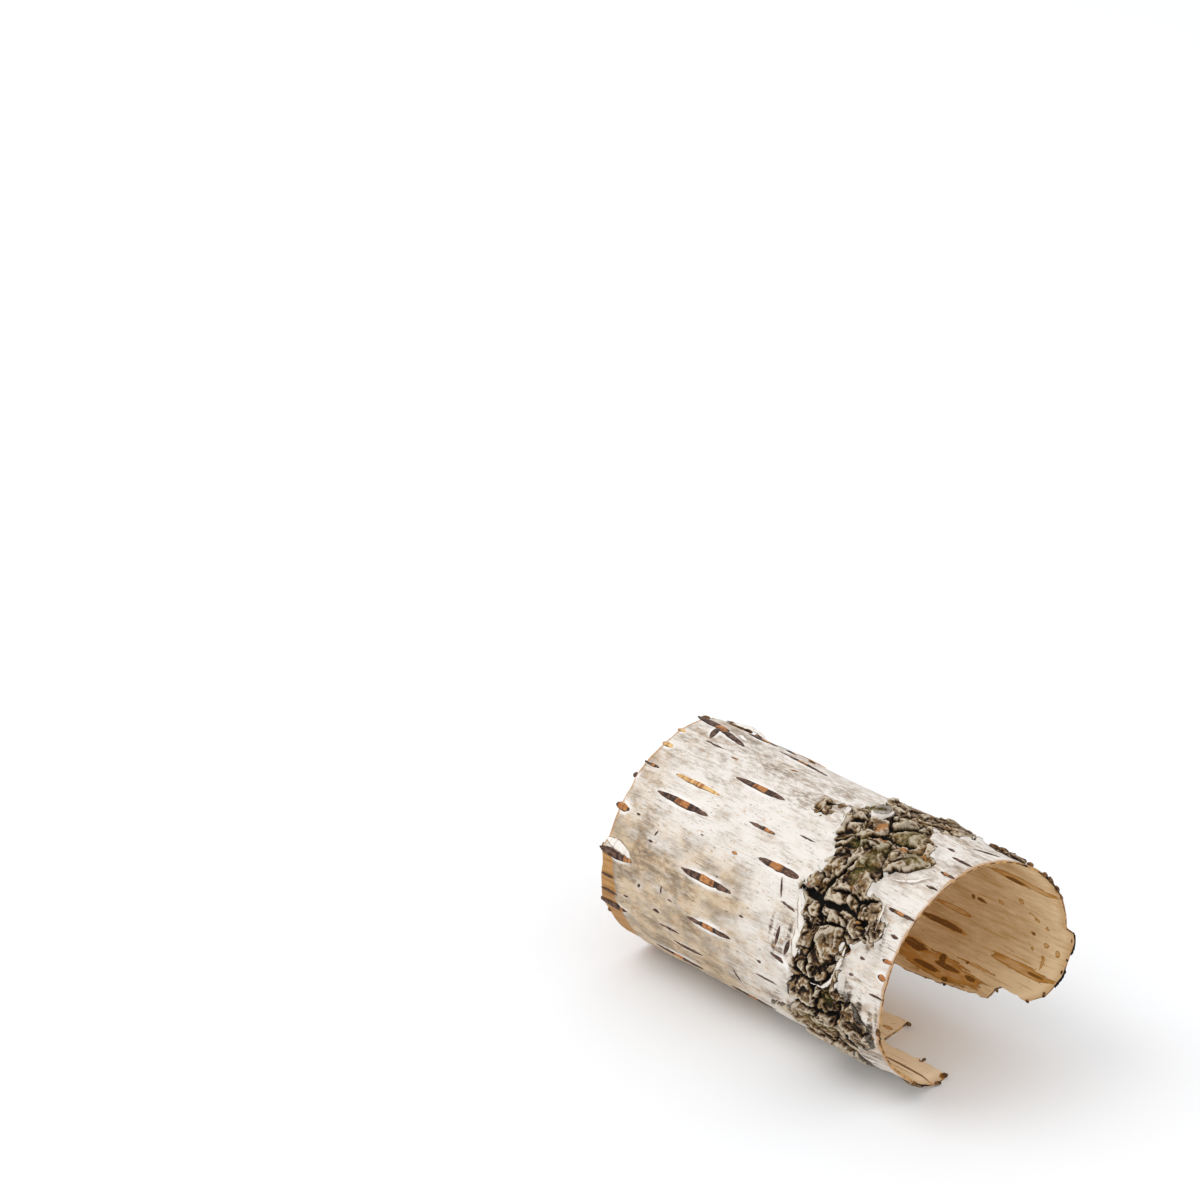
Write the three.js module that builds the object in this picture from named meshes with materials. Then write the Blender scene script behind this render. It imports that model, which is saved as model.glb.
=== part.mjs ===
// A curled piece of birch bark, in millimetres, +Z up, resting on Z = 0.
//
// The bark is drawn flat first, as it would lie if it were unrolled, and then curled. A place on it
// has three numbers: x along the roll, the angle round the roll, and the height above the white face.
// The angle is 0 on the far side (+Y), 90 on top, 180 on the near side (-Y) and 270 underneath, so
// the sheet runs from its far edge over the top and the near side to its near edge, and the split
// between the two edges is underneath. The roll is open at both ends.

import * as THREE from "three";

// The curl
const OUTER_RADIUS = 17.35;
const SHEET_THICKNESS = 0.7;
const PRESSED_FLAT = 0.6; // depth to which the underside is pressed flat where the roll rests

// The untorn sheet, and how far in from an end or an edge its torn outline still bends the sheet
const BACK = -28;
const FRONT = 27.9;
const FAR = -57;
const NEAR = 284.5;
const END_REACH = 13;
const FAR_BEND = 0;
const NEAR_BEND = 225;

// The torn ends, as [angle, x]: the back end is the one away from the corky band
const BACK_END = [
  [-58, -28.4], [-30, -29.3], [5, -28.6], [40, -29.8], [66, -30.3], [80, -29.0], [105, -28.0],
  [150, -27.5], [160, -27.6], [167, -28.6], [176, -28.1], [197, -28.9], [206, -28.3], [240, -28.9],
  [262, -28.0], [286, -28.8],
];
const FRONT_END = [
  [-39, 27.6], [-32, 30.3], [-20, 31.8], [-9, 32.3], [0, 33.0], [3.5, 32.8], [7, 31.4],
  [30, 31.4], [60, 30.0], [75, 29.0], [90, 28.4], [116, 28.0], [136, 27.6], [176, 27.2],
  [196, 26.6], [214, 26.7], [228, 28.4], [248, 27.6], [263, 26.9],
];

// The edges of the split, as [x, angle]: each steps back where a strip has torn away
const FAR_EDGE = [
  [-28, -57], [-16, -55], [-4, -51.5], [5, -50.5], [11, -50], [17, -47.5], [21.9, -45],
  [22.9, -37.5], [28, -38.5],
];
const NEAR_EDGE = [
  [-28, 284], [-20, 282], [-6, 284.5], [5, 281.5], [13.9, 283], [14.9, 261], [17, 260],
  [22, 261.5], [28, 261],
];

// The corky band, as [angle, x] of its two sides
const BAND_BACK_SIDE = [
  [30, 9.5], [48, 7.5], [70, 6.3], [85, 5.6], [100, 6.1], [112, 8.4], [122, 9.8], [140, 8.9],
  [158, 11.0], [176, 10.2], [194, 11.2], [206, 9.0], [222, 11.5], [240, 14.5],
];
const BAND_FRONT_SIDE = [
  [30, 14.0], [48, 17.0], [70, 18.0], [85, 20.2], [104, 24.0], [116, 20.2], [126, 19.2],
  [142, 23.4], [156, 19.4], [170, 18.6], [184, 23.5], [192, 26.0], [204, 22.5], [222, 21.5],
  [240, 19.5],
];
const BAND_SHORE = 1.1; // width over which the band rises from the white face

// The plates of the band and the cracks between them
const PLATE_PITCH = 4.4;
const PLATE_JITTER = 0.32; // share of the pitch
const PLATE_THICKNESS = 1.15;
const PLATE_THICKNESS_SPREAD = 0.4;
const CRACK_WIDTH = 0.95;
const CRACK_FLOOR = 0.08; // share of a plate's thickness left in the crack

// Cork crumbs that stand alone, as [x, angle, length, width, thickness]
const CRUMBS = [
  [2.7, 96, 4.6, 4.4, 0.95], [26.2, 57, 5.0, 2.2, 0.6], [30.2, 38, 2.4, 4.0, 0.6],
  [32.0, -1, 1.6, 2.6, 0.4], [30.9, -20, 1.6, 2.6, 0.4], [27.0, 236, 4.0, 3.6, 0.5],
];

// Breathing pores, spindles that all lie along the roll, as [x, angle, length]
const PORES = [
  [-8.5, 105.5, 9.6], [-17.5, 118.5, 8.4], [-17.6, 130.4, 10.0], [3.6, 137.4, 8.6],
  [-8.0, 158.2, 10.0], [-6.2, 180.1, 8.8], [-2.9, 123.8, 5.0], [-11.2, 201.0, 6.4],
  [-14.8, 215.0, 9.6], [-9.8, 71.2, 10.4], [-25.6, 167.4, 6.0], [-26.4, 76.0, 6.4],
];
const BACK_OF_ROLL_PORES = { x: [-24, 24], angle: [-36, 56], count: 12, length: [5, 11] };
const PORE_RISE = 0.3;

const SEED = 2417;

// How finely the sheet is divided: the white part coarsely, the part with the band finely. The inner
// face takes every second column and row.
const BAND_FROM = 3.9;
const WHITE_COLUMNS = 12;
const BAND_COLUMNS = 24;
const ROWS = 84;

const { degToRad, radToDeg, lerp, smoothstep } = THREE.MathUtils;

/** The value at a place on a line through [place, value] points. */
function along(line, place) {
  const next = line.findIndex((point) => point[0] >= place);
  if (next === 0) return line[0][1];
  if (next < 0) return line[line.length - 1][1];
  const [from, to] = [line[next - 1], line[next]];
  return lerp(from[1], to[1], (place - from[0]) / (to[0] - from[0]));
}

/** The distance round the roll at an angle, on the white face. */
function roundAt(angle) {
  return degToRad(angle) * OUTER_RADIUS;
}

/** A generator of numbers from 0 to 1 that gives the same row of them for the same seed. */
function seededRandom(seed) {
  const modulus = 2147483647;
  let state = seed;
  return () => {
    state = (state * 16807) % modulus;
    return state / modulus;
  };
}

/** A place on the flat bark, curled: x along the roll, the angle round it, height over the white face. */
function curl(x, angle, height) {
  const centre = OUTER_RADIUS - PRESSED_FLAT;
  const sine = Math.sin(degToRad(angle));
  const pressed = Math.max(0, -(centre + OUTER_RADIUS * sine));
  const radius = OUTER_RADIUS + height;
  return new THREE.Vector3(x, radius * Math.cos(degToRad(angle)), centre + radius * sine + pressed);
}

/** Where a column of the untorn sheet and an angle on it fall on the torn sheet: [x, angle]. */
function tear(column, even) {
  let angle = even;
  if (even < FAR_BEND) {
    angle = lerp(FAR_BEND, along(FAR_EDGE, column), (even - FAR_BEND) / (FAR - FAR_BEND));
  }
  if (even > NEAR_BEND) {
    angle = lerp(NEAR_BEND, along(NEAR_EDGE, column), (even - NEAR_BEND) / (NEAR - NEAR_BEND));
  }
  const backPull = 1 - smoothstep(column, BACK, BACK + END_REACH);
  const frontPull = smoothstep(column, FRONT - END_REACH, FRONT);
  const back = backPull * (along(BACK_END, angle) - BACK);
  const front = frontPull * (along(FRONT_END, angle) - FRONT);
  return [column + back + front, angle];
}

/** The middles and thicknesses of the corky plates, in jittered rows across the band. */
function scatterPlates(random) {
  const plates = [];
  const first = roundAt(BAND_BACK_SIDE[0][0]);
  const last = roundAt(BAND_BACK_SIDE[BAND_BACK_SIDE.length - 1][0]);
  const rows = Math.round((last - first) / PLATE_PITCH);
  const jitter = () => PLATE_PITCH * PLATE_JITTER * (2 * random() - 1);
  for (let row = 0; row < rows; row++) {
    const round = lerp(first, last, (row + 0.5) / rows);
    const angle = radToDeg(round / OUTER_RADIUS);
    const back = along(BAND_BACK_SIDE, angle);
    const front = along(BAND_FRONT_SIDE, angle);
    const count = Math.max(1, Math.round((front - back) / PLATE_PITCH));
    for (let i = 0; i < count; i++) {
      const x = lerp(back, front, (i + 0.5) / count) + jitter();
      const thickness = PLATE_THICKNESS + PLATE_THICKNESS_SPREAD * (2 * random() - 1);
      plates.push({ x, round: round + jitter(), thickness });
    }
  }
  return plates;
}

/** How much of the band's height a place has: 1 within the band, falling to 0 over its shore. */
function bandShare(x, angle) {
  const shore = (distance) => smoothstep(distance, -BAND_SHORE / 2, BAND_SHORE / 2);
  const ends = [BAND_BACK_SIDE[0][0], BAND_BACK_SIDE[BAND_BACK_SIDE.length - 1][0]];
  const across = shore(x - along(BAND_BACK_SIDE, angle)) * shore(along(BAND_FRONT_SIDE, angle) - x);
  return across * shore(roundAt(angle - ends[0])) * shore(roundAt(ends[1] - angle));
}

/** The height of the plates at a place: each is highest off the cracks that part it from the next. */
function plateHeight(plates, x, angle) {
  const share = bandShare(x, angle);
  if (share === 0) return 0;
  const far = (plate) => Math.hypot(x - plate.x, roundAt(angle) - plate.round);
  const [here, next] = [...plates].sort((a, b) => far(a) - far(b));
  const apart = Math.hypot(next.x - here.x, next.round - here.round);
  const toCrack = (far(next) ** 2 - far(here) ** 2) / (2 * apart);
  return share * here.thickness * lerp(CRACK_FLOOR, 1, smoothstep(toCrack, 0, CRACK_WIDTH));
}

/** The height of the lone crumbs of cork at a place. */
function crumbHeight(x, angle) {
  const heights = CRUMBS.map(([middle, turn, length, width, thickness]) => {
    const off = Math.hypot((x - middle) / (length / 2), roundAt(angle - turn) / (width / 2));
    return thickness * (1 - smoothstep(off, 0.55, 1));
  });
  return Math.max(...heights);
}

/** The pores of the seen side, and the ones scattered over the side turned away. */
function allPores(random) {
  const { x, angle, count, length } = BACK_OF_ROLL_PORES;
  const scattered = Array.from({ length: count }, (_, i) => [
    lerp(...x, random()),
    lerp(...angle, (i + 0.5 + 0.4 * (2 * random() - 1)) / count),
    lerp(...length, random()),
  ]);
  return [...PORES, ...scattered];
}

/** The outer face's places, row by row in each column, with the relief that is raised from them. */
function outerPlaces(columns, angles) {
  const random = seededRandom(SEED);
  const plates = scatterPlates(random);
  const places = columns.map((column) =>
    angles.map((even) => {
      const [x, angle] = tear(column, even);
      return { x, angle, height: Math.max(plateHeight(plates, x, angle), crumbHeight(x, angle)) };
    }),
  );
  for (const [middle, angle, length] of allPores(random)) {
    raisePore(places, middle, angle, length);
  }
  return places;
}

/** Raises a pore: in each column that it crosses, the nearest place moves to its line and rises. */
function raisePore(places, middle, angle, length) {
  for (const column of places.slice(1, -1)) {
    const off = (place) => Math.abs(place.angle - angle);
    const nearest = column.reduce((best, place) => (off(place) < off(best) ? place : best));
    const share = (nearest.x - middle) / (length / 2);
    if (Math.abs(share) < 1 && nearest.height < PORE_RISE) {
      nearest.angle = angle;
      nearest.height = Math.max(nearest.height, PORE_RISE * (1 - share ** 2));
    }
  }
}

/** The [column, row] steps once round the border of a grid, in the order in which a rim follows it. */
function borderOf(columns, rows) {
  const count = (n) => Array.from({ length: n }, (_, i) => i);
  return [
    ...count(columns).map((c) => [c, 0]),
    ...count(rows).map((r) => [columns, r]),
    ...count(columns).map((c) => [columns - c, rows]),
    ...count(rows).map((r) => [0, rows - r]),
  ];
}

/** The whole bark as one closed geometry: an outer face with its relief, an inner face and the rim. */
function barkGeometry() {
  const steps = WHITE_COLUMNS + BAND_COLUMNS;
  const columns = Array.from({ length: steps + 1 }, (_, i) =>
    i < WHITE_COLUMNS
      ? lerp(BACK, BAND_FROM, i / WHITE_COLUMNS)
      : lerp(BAND_FROM, FRONT, (i - WHITE_COLUMNS) / BAND_COLUMNS),
  );
  const angles = Array.from({ length: ROWS + 1 }, (_, i) => lerp(FAR, NEAR, i / ROWS));
  const second = (_, i) => i % 2 === 0;
  const outer = outerPlaces(columns, angles);
  const inner = columns.filter(second).map((column) => angles.filter(second).map((even) => tear(column, even)));
  const points = [
    ...outer.flat().map(({ x, angle, height }) => curl(x, angle, height)),
    ...inner.flat().map(([x, angle]) => curl(x, angle, -SHEET_THICKNESS)),
  ];
  const outerAt = (c, r) => c * (ROWS + 1) + r;
  const innerAt = (c, r) => (steps + 1) * (ROWS + 1) + c * (ROWS / 2 + 1) + r;

  const triangles = [];
  for (let c = 0; c < steps; c++) {
    for (let r = 0; r < ROWS; r++) {
      const corners = [outerAt(c, r), outerAt(c, r + 1), outerAt(c + 1, r + 1), outerAt(c + 1, r)];
      triangles.push(corners[0], corners[1], corners[2], corners[0], corners[2], corners[3]);
    }
  }
  for (let c = 0; c < steps / 2; c++) {
    for (let r = 0; r < ROWS / 2; r++) {
      const corners = [innerAt(c, r), innerAt(c + 1, r), innerAt(c + 1, r + 1), innerAt(c, r + 1)];
      triangles.push(corners[0], corners[1], corners[2], corners[0], corners[2], corners[3]);
    }
  }
  const outerRim = borderOf(steps, ROWS).map(([c, r]) => outerAt(c, r));
  const innerRim = borderOf(steps / 2, ROWS / 2).map(([c, r]) => innerAt(c, r));
  innerRim.forEach((from, k) => {
    const to = innerRim[(k + 1) % innerRim.length];
    const [first, middle, last] = [0, 1, 2].map((i) => outerRim[(2 * k + i) % outerRim.length]);
    triangles.push(first, middle, from, middle, to, from, middle, last, to);
  });

  const geometry = new THREE.BufferGeometry().setFromPoints(points).setIndex(triangles);
  geometry.computeVertexNormals();
  geometry.computeBoundingBox();
  return geometry;
}

const whiteBark = new THREE.MeshStandardMaterial({ color: 0xe4ddd2, roughness: 0.78, metalness: 0 });
const bark = new THREE.Mesh(barkGeometry(), whiteBark);
bark.name = "birch_bark";

// The origin is under the middle of the bark's box, on the surface that it rests on
const { min, max } = bark.geometry.boundingBox;
bark.position.set(-(min.x + max.x) / 2, -(min.y + max.y) / 2, -min.z);

const piece = new THREE.Group();
piece.add(bark);

export default piece;
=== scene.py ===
"""Looks for a curled piece of birch bark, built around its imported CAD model.

Every piece is drawn on the flat bark, as it would lie unrolled, and then curled by one Geometry
Nodes tree. On the flat bark x runs along the roll towards its front end, y runs round it with 0 on
the top line and the far side positive, and z is the height above the white face. Sizes of the flat
bark are in millimetres and angles in degrees: 0 on the far side, 90 on top, 180 on the near side and
270 underneath.
"""

import itertools
import logging
import math
from dataclasses import dataclass
from enum import Enum, IntEnum
from typing import Any, ClassVar

import bpy
import numpy as np
from mathutils import Matrix, Vector


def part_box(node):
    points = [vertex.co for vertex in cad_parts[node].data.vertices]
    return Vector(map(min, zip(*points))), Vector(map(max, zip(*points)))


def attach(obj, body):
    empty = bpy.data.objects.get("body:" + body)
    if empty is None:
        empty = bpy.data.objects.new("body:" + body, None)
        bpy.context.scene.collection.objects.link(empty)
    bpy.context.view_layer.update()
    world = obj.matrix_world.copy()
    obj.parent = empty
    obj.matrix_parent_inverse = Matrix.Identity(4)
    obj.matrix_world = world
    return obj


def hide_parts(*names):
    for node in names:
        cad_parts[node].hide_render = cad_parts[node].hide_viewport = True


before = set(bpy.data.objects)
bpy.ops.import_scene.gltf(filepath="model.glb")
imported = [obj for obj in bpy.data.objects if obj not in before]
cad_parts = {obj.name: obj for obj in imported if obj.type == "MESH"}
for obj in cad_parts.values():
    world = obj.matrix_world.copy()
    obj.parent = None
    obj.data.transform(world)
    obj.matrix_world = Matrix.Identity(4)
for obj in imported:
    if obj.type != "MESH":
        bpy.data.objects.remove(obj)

LOG = logging.getLogger("birch_bark")
MM = 0.001
CAD_NODE = "birch_bark"
BODY = "root"

Array = np.ndarray
Pair = tuple[float, float]
Line = list[Pair]
Ovals = list[tuple[float, float, float, float]]
Scale = tuple[float, float, float]
Socket = bpy.types.NodeSocket
Inputs = dict[str | int, Any]
Coat = tuple[Any, ...]


class Seed(IntEnum):
    """The fixed seeds, one for each use of chance; the first is the CAD model's own."""

    CAD = 2417
    TEAR = 11
    SHEET = 12
    WARP = 21
    GRIT = 22
    FRAY = 23
    CREASE = 24
    GAP = 25
    LEAN = 31
    SLOPE_X = 32
    SLOPE_Y = 33
    TONE = 34
    SCARS = 733


def tint(code: str) -> tuple[float, float, float, float]:
    """Turns a screen colour into the linear colour that a shader takes.

    Args:
        code: Six hexadecimal digits.

    Returns:
        Red, green, blue and alpha.
    """
    parts = [int(code[i : i + 2], 16) / 255 for i in (0, 2, 4)]
    red, green, blue = [p / 12.92 if p <= 0.04045 else ((p + 0.055) / 1.055) ** 2.4 for p in parts]
    return (red, green, blue, 1.0)


def along(line: Line, place: Array | float) -> Array:
    """The value at a place on a line through (place, value) points."""
    places, values = zip(*line)
    return np.interp(place, places, values)


def ease(value: Array, low: float, high: float) -> Array:
    """A smooth step from 0 at low to 1 at high."""
    share = np.clip((value - low) / (high - low), 0.0, 1.0)
    return share * share * (3.0 - 2.0 * share)


class Draws:
    """Numbers from 0 to 1 that come in the same row as the CAD model's own for the same seed."""

    MODULUS: ClassVar[int] = 2147483647
    FACTOR: ClassVar[int] = 16807

    def __init__(self, seed: int) -> None:
        """Starts the row at a seed."""
        self.state = seed

    def next(self) -> float:
        """The next number."""
        self.state = self.state * self.FACTOR % self.MODULUS
        return self.state / self.MODULUS

    def spread(self) -> float:
        """The next number, from -1 to 1."""
        return 2.0 * self.next() - 1.0


class Grain:
    """Seeded lattice noise on the flat bark, from about -1 to 1."""

    CELLS: ClassVar[int] = 256
    OCTAVE_SHIFT: ClassVar[float] = 37.7

    def __init__(self, seed: int) -> None:
        """Fills the lattice from a seed."""
        self.lattice = np.random.default_rng(seed).uniform(-1.0, 1.0, (self.CELLS, self.CELLS))

    def at(self, x: Array, y: Array, size: Pair, octaves: int = 1) -> Array:
        """The noise at places.

        Args:
            x: Places along the roll, mm.
            y: Places round the roll, mm.
            size: How long a feature is along and round the roll, mm.
            octaves: How many layers are added, each half as large and half as strong.

        Returns:
            One value for each place.
        """
        total = np.zeros(np.broadcast(x, y).shape)
        for octave in range(octaves):
            shift, scale = self.OCTAVE_SHIFT * octave, 2**octave
            layer = self._layer(x * scale / size[0] + shift, y * scale / size[1] - shift)
            total = total + layer / scale
        return total

    def creased(self, x: Array, y: Array, size: float, octaves: int = 1) -> Array:
        """Noise made of flat facets that meet in sharp creases, like crumpled foil.

        Args:
            x: Places along the first axis, mm.
            y: Places along the second axis, mm.
            size: How wide the largest facets are, mm.
            octaves: How many layers are added, each half as large and half as strong.

        Returns:
            One value for each place, from about -1 to 1.
        """
        total = np.zeros(np.shape(x))
        for octave in range(octaves):
            scale = 2**octave / size
            v = y * scale * 2.0 / math.sqrt(3.0) + self.OCTAVE_SHIFT * octave
            u = x * scale - 0.5 * v
            iu, iv = np.floor(u).astype(int), np.floor(v).astype(int)
            fu, fv = u - iu, v - iv
            lower = fu + fv < 1.0
            corner = np.where(lower, self._corner(iu, iv), self._corner(iu + 1, iv + 1))
            share_u, share_v = np.where(lower, fu, 1.0 - fv), np.where(lower, fv, 1.0 - fu)
            layer = corner * (1.0 - share_u - share_v)
            layer = layer + self._corner(iu + 1, iv) * share_u + self._corner(iu, iv + 1) * share_v
            total = total + layer / 2**octave
        return total

    def _corner(self, iu: Array, iv: Array) -> Array:
        """The values at corners of the lattice."""
        return self.lattice[iu % self.CELLS, iv % self.CELLS]

    def _layer(self, u: Array, v: Array) -> Array:
        """One layer of noise in lattice units.

        Args:
            u: Places along the first axis, in lattice units.
            v: Places along the second axis, the same.

        Returns:
            One value for each place.
        """
        iu, iv = np.floor(u).astype(int), np.floor(v).astype(int)
        fu, fv = ease(u - iu, 0.0, 1.0), ease(v - iv, 0.0, 1.0)
        low = self._corner(iu, iv) * (1 - fu) + self._corner(iu + 1, iv) * fu
        high = self._corner(iu, iv + 1) * (1 - fu) + self._corner(iu + 1, iv + 1) * fu
        return low * (1 - fv) + high * fv


@dataclass(frozen=True)
class Roll:
    """The curl of the sheet and the torn outline that the CAD model has."""

    radius: float = 17.35
    thickness: float = 0.7
    pressed_flat: float = 0.6
    back: float = -28.0
    front: float = 27.9
    far: float = -57.0
    near: float = 284.5
    end_reach: float = 13.0
    far_bend: float = 0.0
    near_bend: float = 225.0
    front_tip: float = 33.0
    far_crumb_rise: float = 0.4
    far_fray: float = 0.55
    near_fray: float = 0.6
    back_fray: float = 0.09
    front_fray: float = 0.07
    fray_power: int = 12

    BACK_END: ClassVar[Line] = [
        (-58, -28.4), (-30, -29.3), (5, -28.6), (40, -29.8), (66, -30.3), (80, -29.0), (105, -28.0),
        (150, -27.5), (160, -27.6), (167, -28.6), (176, -28.1), (197, -28.9), (206, -28.3),
        (240, -28.9), (262, -28.0), (286, -28.8),
    ]
    FRONT_END: ClassVar[Line] = [
        (-39, 27.6), (-32, 30.3), (-20, 31.8), (-9, 32.3), (0, 33.0), (4.6, 32.8), (5.6, 31.4),
        (30, 31.4), (60, 30.0), (75, 29.0), (90, 28.4), (116, 28.0), (136, 27.6), (176, 27.2),
        (196, 26.6), (214, 26.7), (228, 28.4), (248, 27.6), (263, 26.9),
    ]
    FAR_EDGE: ClassVar[Line] = [
        (-28, -57), (-16, -55), (-4, -51.5), (5, -50.5), (11, -50), (17, -47.5), (21.9, -45),
        (22.7, -37.5), (28, -38.5),
    ]
    NEAR_EDGE: ClassVar[Line] = [
        (-28, 284), (-20, 282), (-6, 284.5), (5, 281.5), (13.9, 283), (14.5, 262), (17, 260),
        (21.6, 261), (22.2, 263.5), (22.6, 261), (28, 261),
    ]

    def y_at(self, angle: Array | float) -> Array | float:
        """The place round the flat bark at an angle, mm."""
        return np.radians(90.0 - np.asarray(angle)) * self.radius

    def angle_at(self, y: Array | float) -> Array | float:
        """The angle at a place round the flat bark."""
        return 90.0 - np.degrees(np.asarray(y) / self.radius)

    def middle(self) -> Vector:
        """Where the middle of the roll's axis is in the frame, in metres."""
        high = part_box(CAD_NODE)[1]
        return Vector((
            high[0] - self.front_tip * MM,
            high[1] - (self.radius + self.far_crumb_rise) * MM,
            (self.radius - self.pressed_flat) * MM,
        ))

    def tear(self, column: Array, even: Array, jag: Grain) -> tuple[Array, Array]:
        """Moves places of the untorn sheet onto the torn one.

        Args:
            column: Places along the untorn sheet, mm.
            even: Angles on the untorn sheet.
            jag: The noise that frays the torn outline.

        Returns:
            Places along the roll in mm, and angles.
        """
        level = 0 * column
        far_edge = along(self.FAR_EDGE, column) + self.far_fray * jag.at(column, level, (1.3, 1.0), 3)
        near_noise = jag.at(column, level + 40.0, (1.1, 1.0), 3)
        near_edge = along(self.NEAR_EDGE, column) + self.near_fray * near_noise
        to_far = np.clip((even - self.far_bend) / (self.far - self.far_bend), 0, 1)
        to_near = np.clip((even - self.near_bend) / (self.near - self.near_bend), 0, 1)
        angle = np.where(to_far > 0, self.far_bend + (far_edge - self.far_bend) * to_far, even)
        angle = np.where(to_near > 0, self.near_bend + (near_edge - self.near_bend) * to_near, angle)
        front_noise = jag.at(0 * angle + 11.0, self.y_at(angle), (1.0, 1.7), 3)
        back_noise = jag.at(0 * angle + 71.0, self.y_at(angle), (1.0, 1.9), 3)
        back_pull = 1.0 - ease(column, self.back, self.back + self.end_reach)
        front_pull = ease(column, self.front - self.end_reach, self.front)
        at_back = back_pull * (along(self.BACK_END, angle) - self.back)
        at_back += back_pull**self.fray_power * self.back_fray * back_noise
        at_front = front_pull * (along(self.FRONT_END, angle) - self.front)
        at_front += front_pull**self.fray_power * self.front_fray * front_noise
        return column + at_back + at_front, angle


ROLL = Roll()


@dataclass(frozen=True)
class Band:
    """The corky band's outline and its plates, as the CAD model has them."""

    pitch: float = 4.4
    jitter: float = 0.32
    thickness: float = 1.15
    thickness_spread: float = 0.4
    end_fray: float = 1.1
    back_fray: float = 0.65
    calmed_by: float = 0.45
    front_fray: float = 0.75
    lump_fray: float = 0.35
    lump_margin: float = 0.2

    CALM_FROM: ClassVar[Pair] = (136.0, 142.0)
    CALM_TO: ClassVar[Pair] = (170.0, 178.0)
    BACK_SIDE: ClassVar[Line] = [
        (30, 9.5), (48, 7.5), (70, 6.3), (85, 5.6), (100, 6.1), (112, 8.4), (122, 9.8), (140, 8.9),
        (158, 11.0), (176, 10.2), (194, 11.2), (206, 9.0), (222, 11.5), (240, 14.5),
    ]
    FRONT_SIDE: ClassVar[Line] = [
        (30, 14.0), (48, 17.0), (70, 18.0), (85, 20.2), (104, 24.0), (116, 20.2), (126, 19.2),
        (142, 23.4), (156, 19.4), (170, 18.6), (184, 23.5), (192, 26.0), (204, 22.5), (222, 21.5),
        (240, 19.5),
    ]
    BACK_OUTLINE: ClassVar[Line] = [
        (30, 9.5), (48, 7.5), (66, 6.6), (76, 6.8), (82, 5.8), (90, 5.0), (100, 5.9), (107, 7.0),
        (113, 8.4), (120, 9.7), (130, 9.6), (137, 8.6), (140, 8.0), (147, 9.6), (156, 10.8), (170, 11.4),
        (176, 10.6), (184, 10.2), (196, 11.2), (202, 9.6), (205.5, 5.4), (207.5, 8.4), (214, 10.2),
        (222, 11.5), (240, 14.5),
    ]
    FRONT_OUTLINE: ClassVar[Line] = [
        (30, 13.0), (48, 18.0), (58, 21.8), (69, 22.2), (75, 20.0), (78, 17.2), (82, 17.8), (87, 19.6),
        (92, 21.6), (98, 23.2), (104, 24.2), (112, 21.6), (118, 19.5), (131, 20.8), (140, 23.8),
        (147, 23.6), (155, 20.0), (165, 18.6), (175, 20.8), (185, 23.8), (194, 26.0), (200, 25.0),
        (207, 23.0), (214, 21.0), (226, 22.5), (240, 19.5),
    ]
    LUMPS: ClassVar[list[tuple[float, float, float, float, float]]] = [
        (2.4, 98.5, 3.0, 3.2, 0.8), (3.9, 92.4, 1.7, 2.6, 0.45), (26.3, 59, 5.2, 2.2, 0.5),
        (30.4, 38, 1.8, 3.6, 0.45), (32.2, -1, 1.2, 2.2, 0.3), (31.2, -20, 1.2, 2.2, 0.3),
        (27.0, 236, 4.0, 3.6, 0.5),
    ]

    @property
    def ends(self) -> Pair:
        """The angles at which the band begins and ends."""
        return self.BACK_SIDE[0][0], self.BACK_SIDE[-1][0]

    def plates(self, draws: Draws) -> Array:
        """The plates' middles and thicknesses, in the CAD model's order of draws.

        Args:
            draws: The row of seeded numbers.

        Returns:
            One row of x, y and thickness for each plate, mm.
        """
        first, last = [math.radians(end) * ROLL.radius for end in self.ends]
        rows = round((last - first) / self.pitch)
        made = []
        for row in range(rows):
            around = first + (last - first) * (row + 0.5) / rows
            angle = math.degrees(around / ROLL.radius)
            back, front = float(along(self.BACK_SIDE, angle)), float(along(self.FRONT_SIDE, angle))
            count = max(1, math.floor((front - back) / self.pitch + 0.5))
            for i in range(count):
                x = back + (front - back) * (i + 0.5) / count + self.pitch * self.jitter * draws.spread()
                thickness = self.thickness + self.thickness_spread * draws.spread()
                moved = around + self.pitch * self.jitter * draws.spread()
                made.append((x, math.radians(90) * ROLL.radius - moved, thickness))
        return np.array(made)

    def outline(self, x: Array, y: Array) -> Array:
        """How far places lie inside the band with its ends cut straight.

        Args:
            x: Places along the roll, mm.
            y: Places round the roll, mm.

        Returns:
            Distances in mm, negative outside the band.
        """
        fray = Grain(Seed.FRAY)
        angle = ROLL.angle_at(y)
        calm = ease(angle, *self.CALM_FROM) * (1.0 - ease(angle, *self.CALM_TO))
        back_fray = self.back_fray - self.calmed_by * calm
        back = x - along(self.BACK_OUTLINE, angle) + back_fray * fray.at(x, y, (2.2, 2.2), 3)
        front_fray = self.front_fray * fray.at(x + 50.0, y, (2.0, 2.0), 3)
        front = along(self.FRONT_OUTLINE, angle) - x + front_fray
        return np.minimum(np.minimum(back, front), self.to_ends(angle))

    def to_ends(self, angle: Array) -> Array:
        """How far angles lie from the nearer end of the band along the sheet, mm."""
        return np.radians(np.minimum(angle - self.ends[0], self.ends[1] - angle)) * ROLL.radius

    def inside(self, x: Array, y: Array) -> Array:
        """How far places lie inside the band with its frayed ends, mm; negative outside it."""
        fray = self.end_fray * Grain(Seed.FRAY).at(x, y + 120.0, (2.4, 2.4), 3)
        return np.minimum(self.outline(x, y), self.to_ends(ROLL.angle_at(y)) - self.end_fray + fray)

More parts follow.
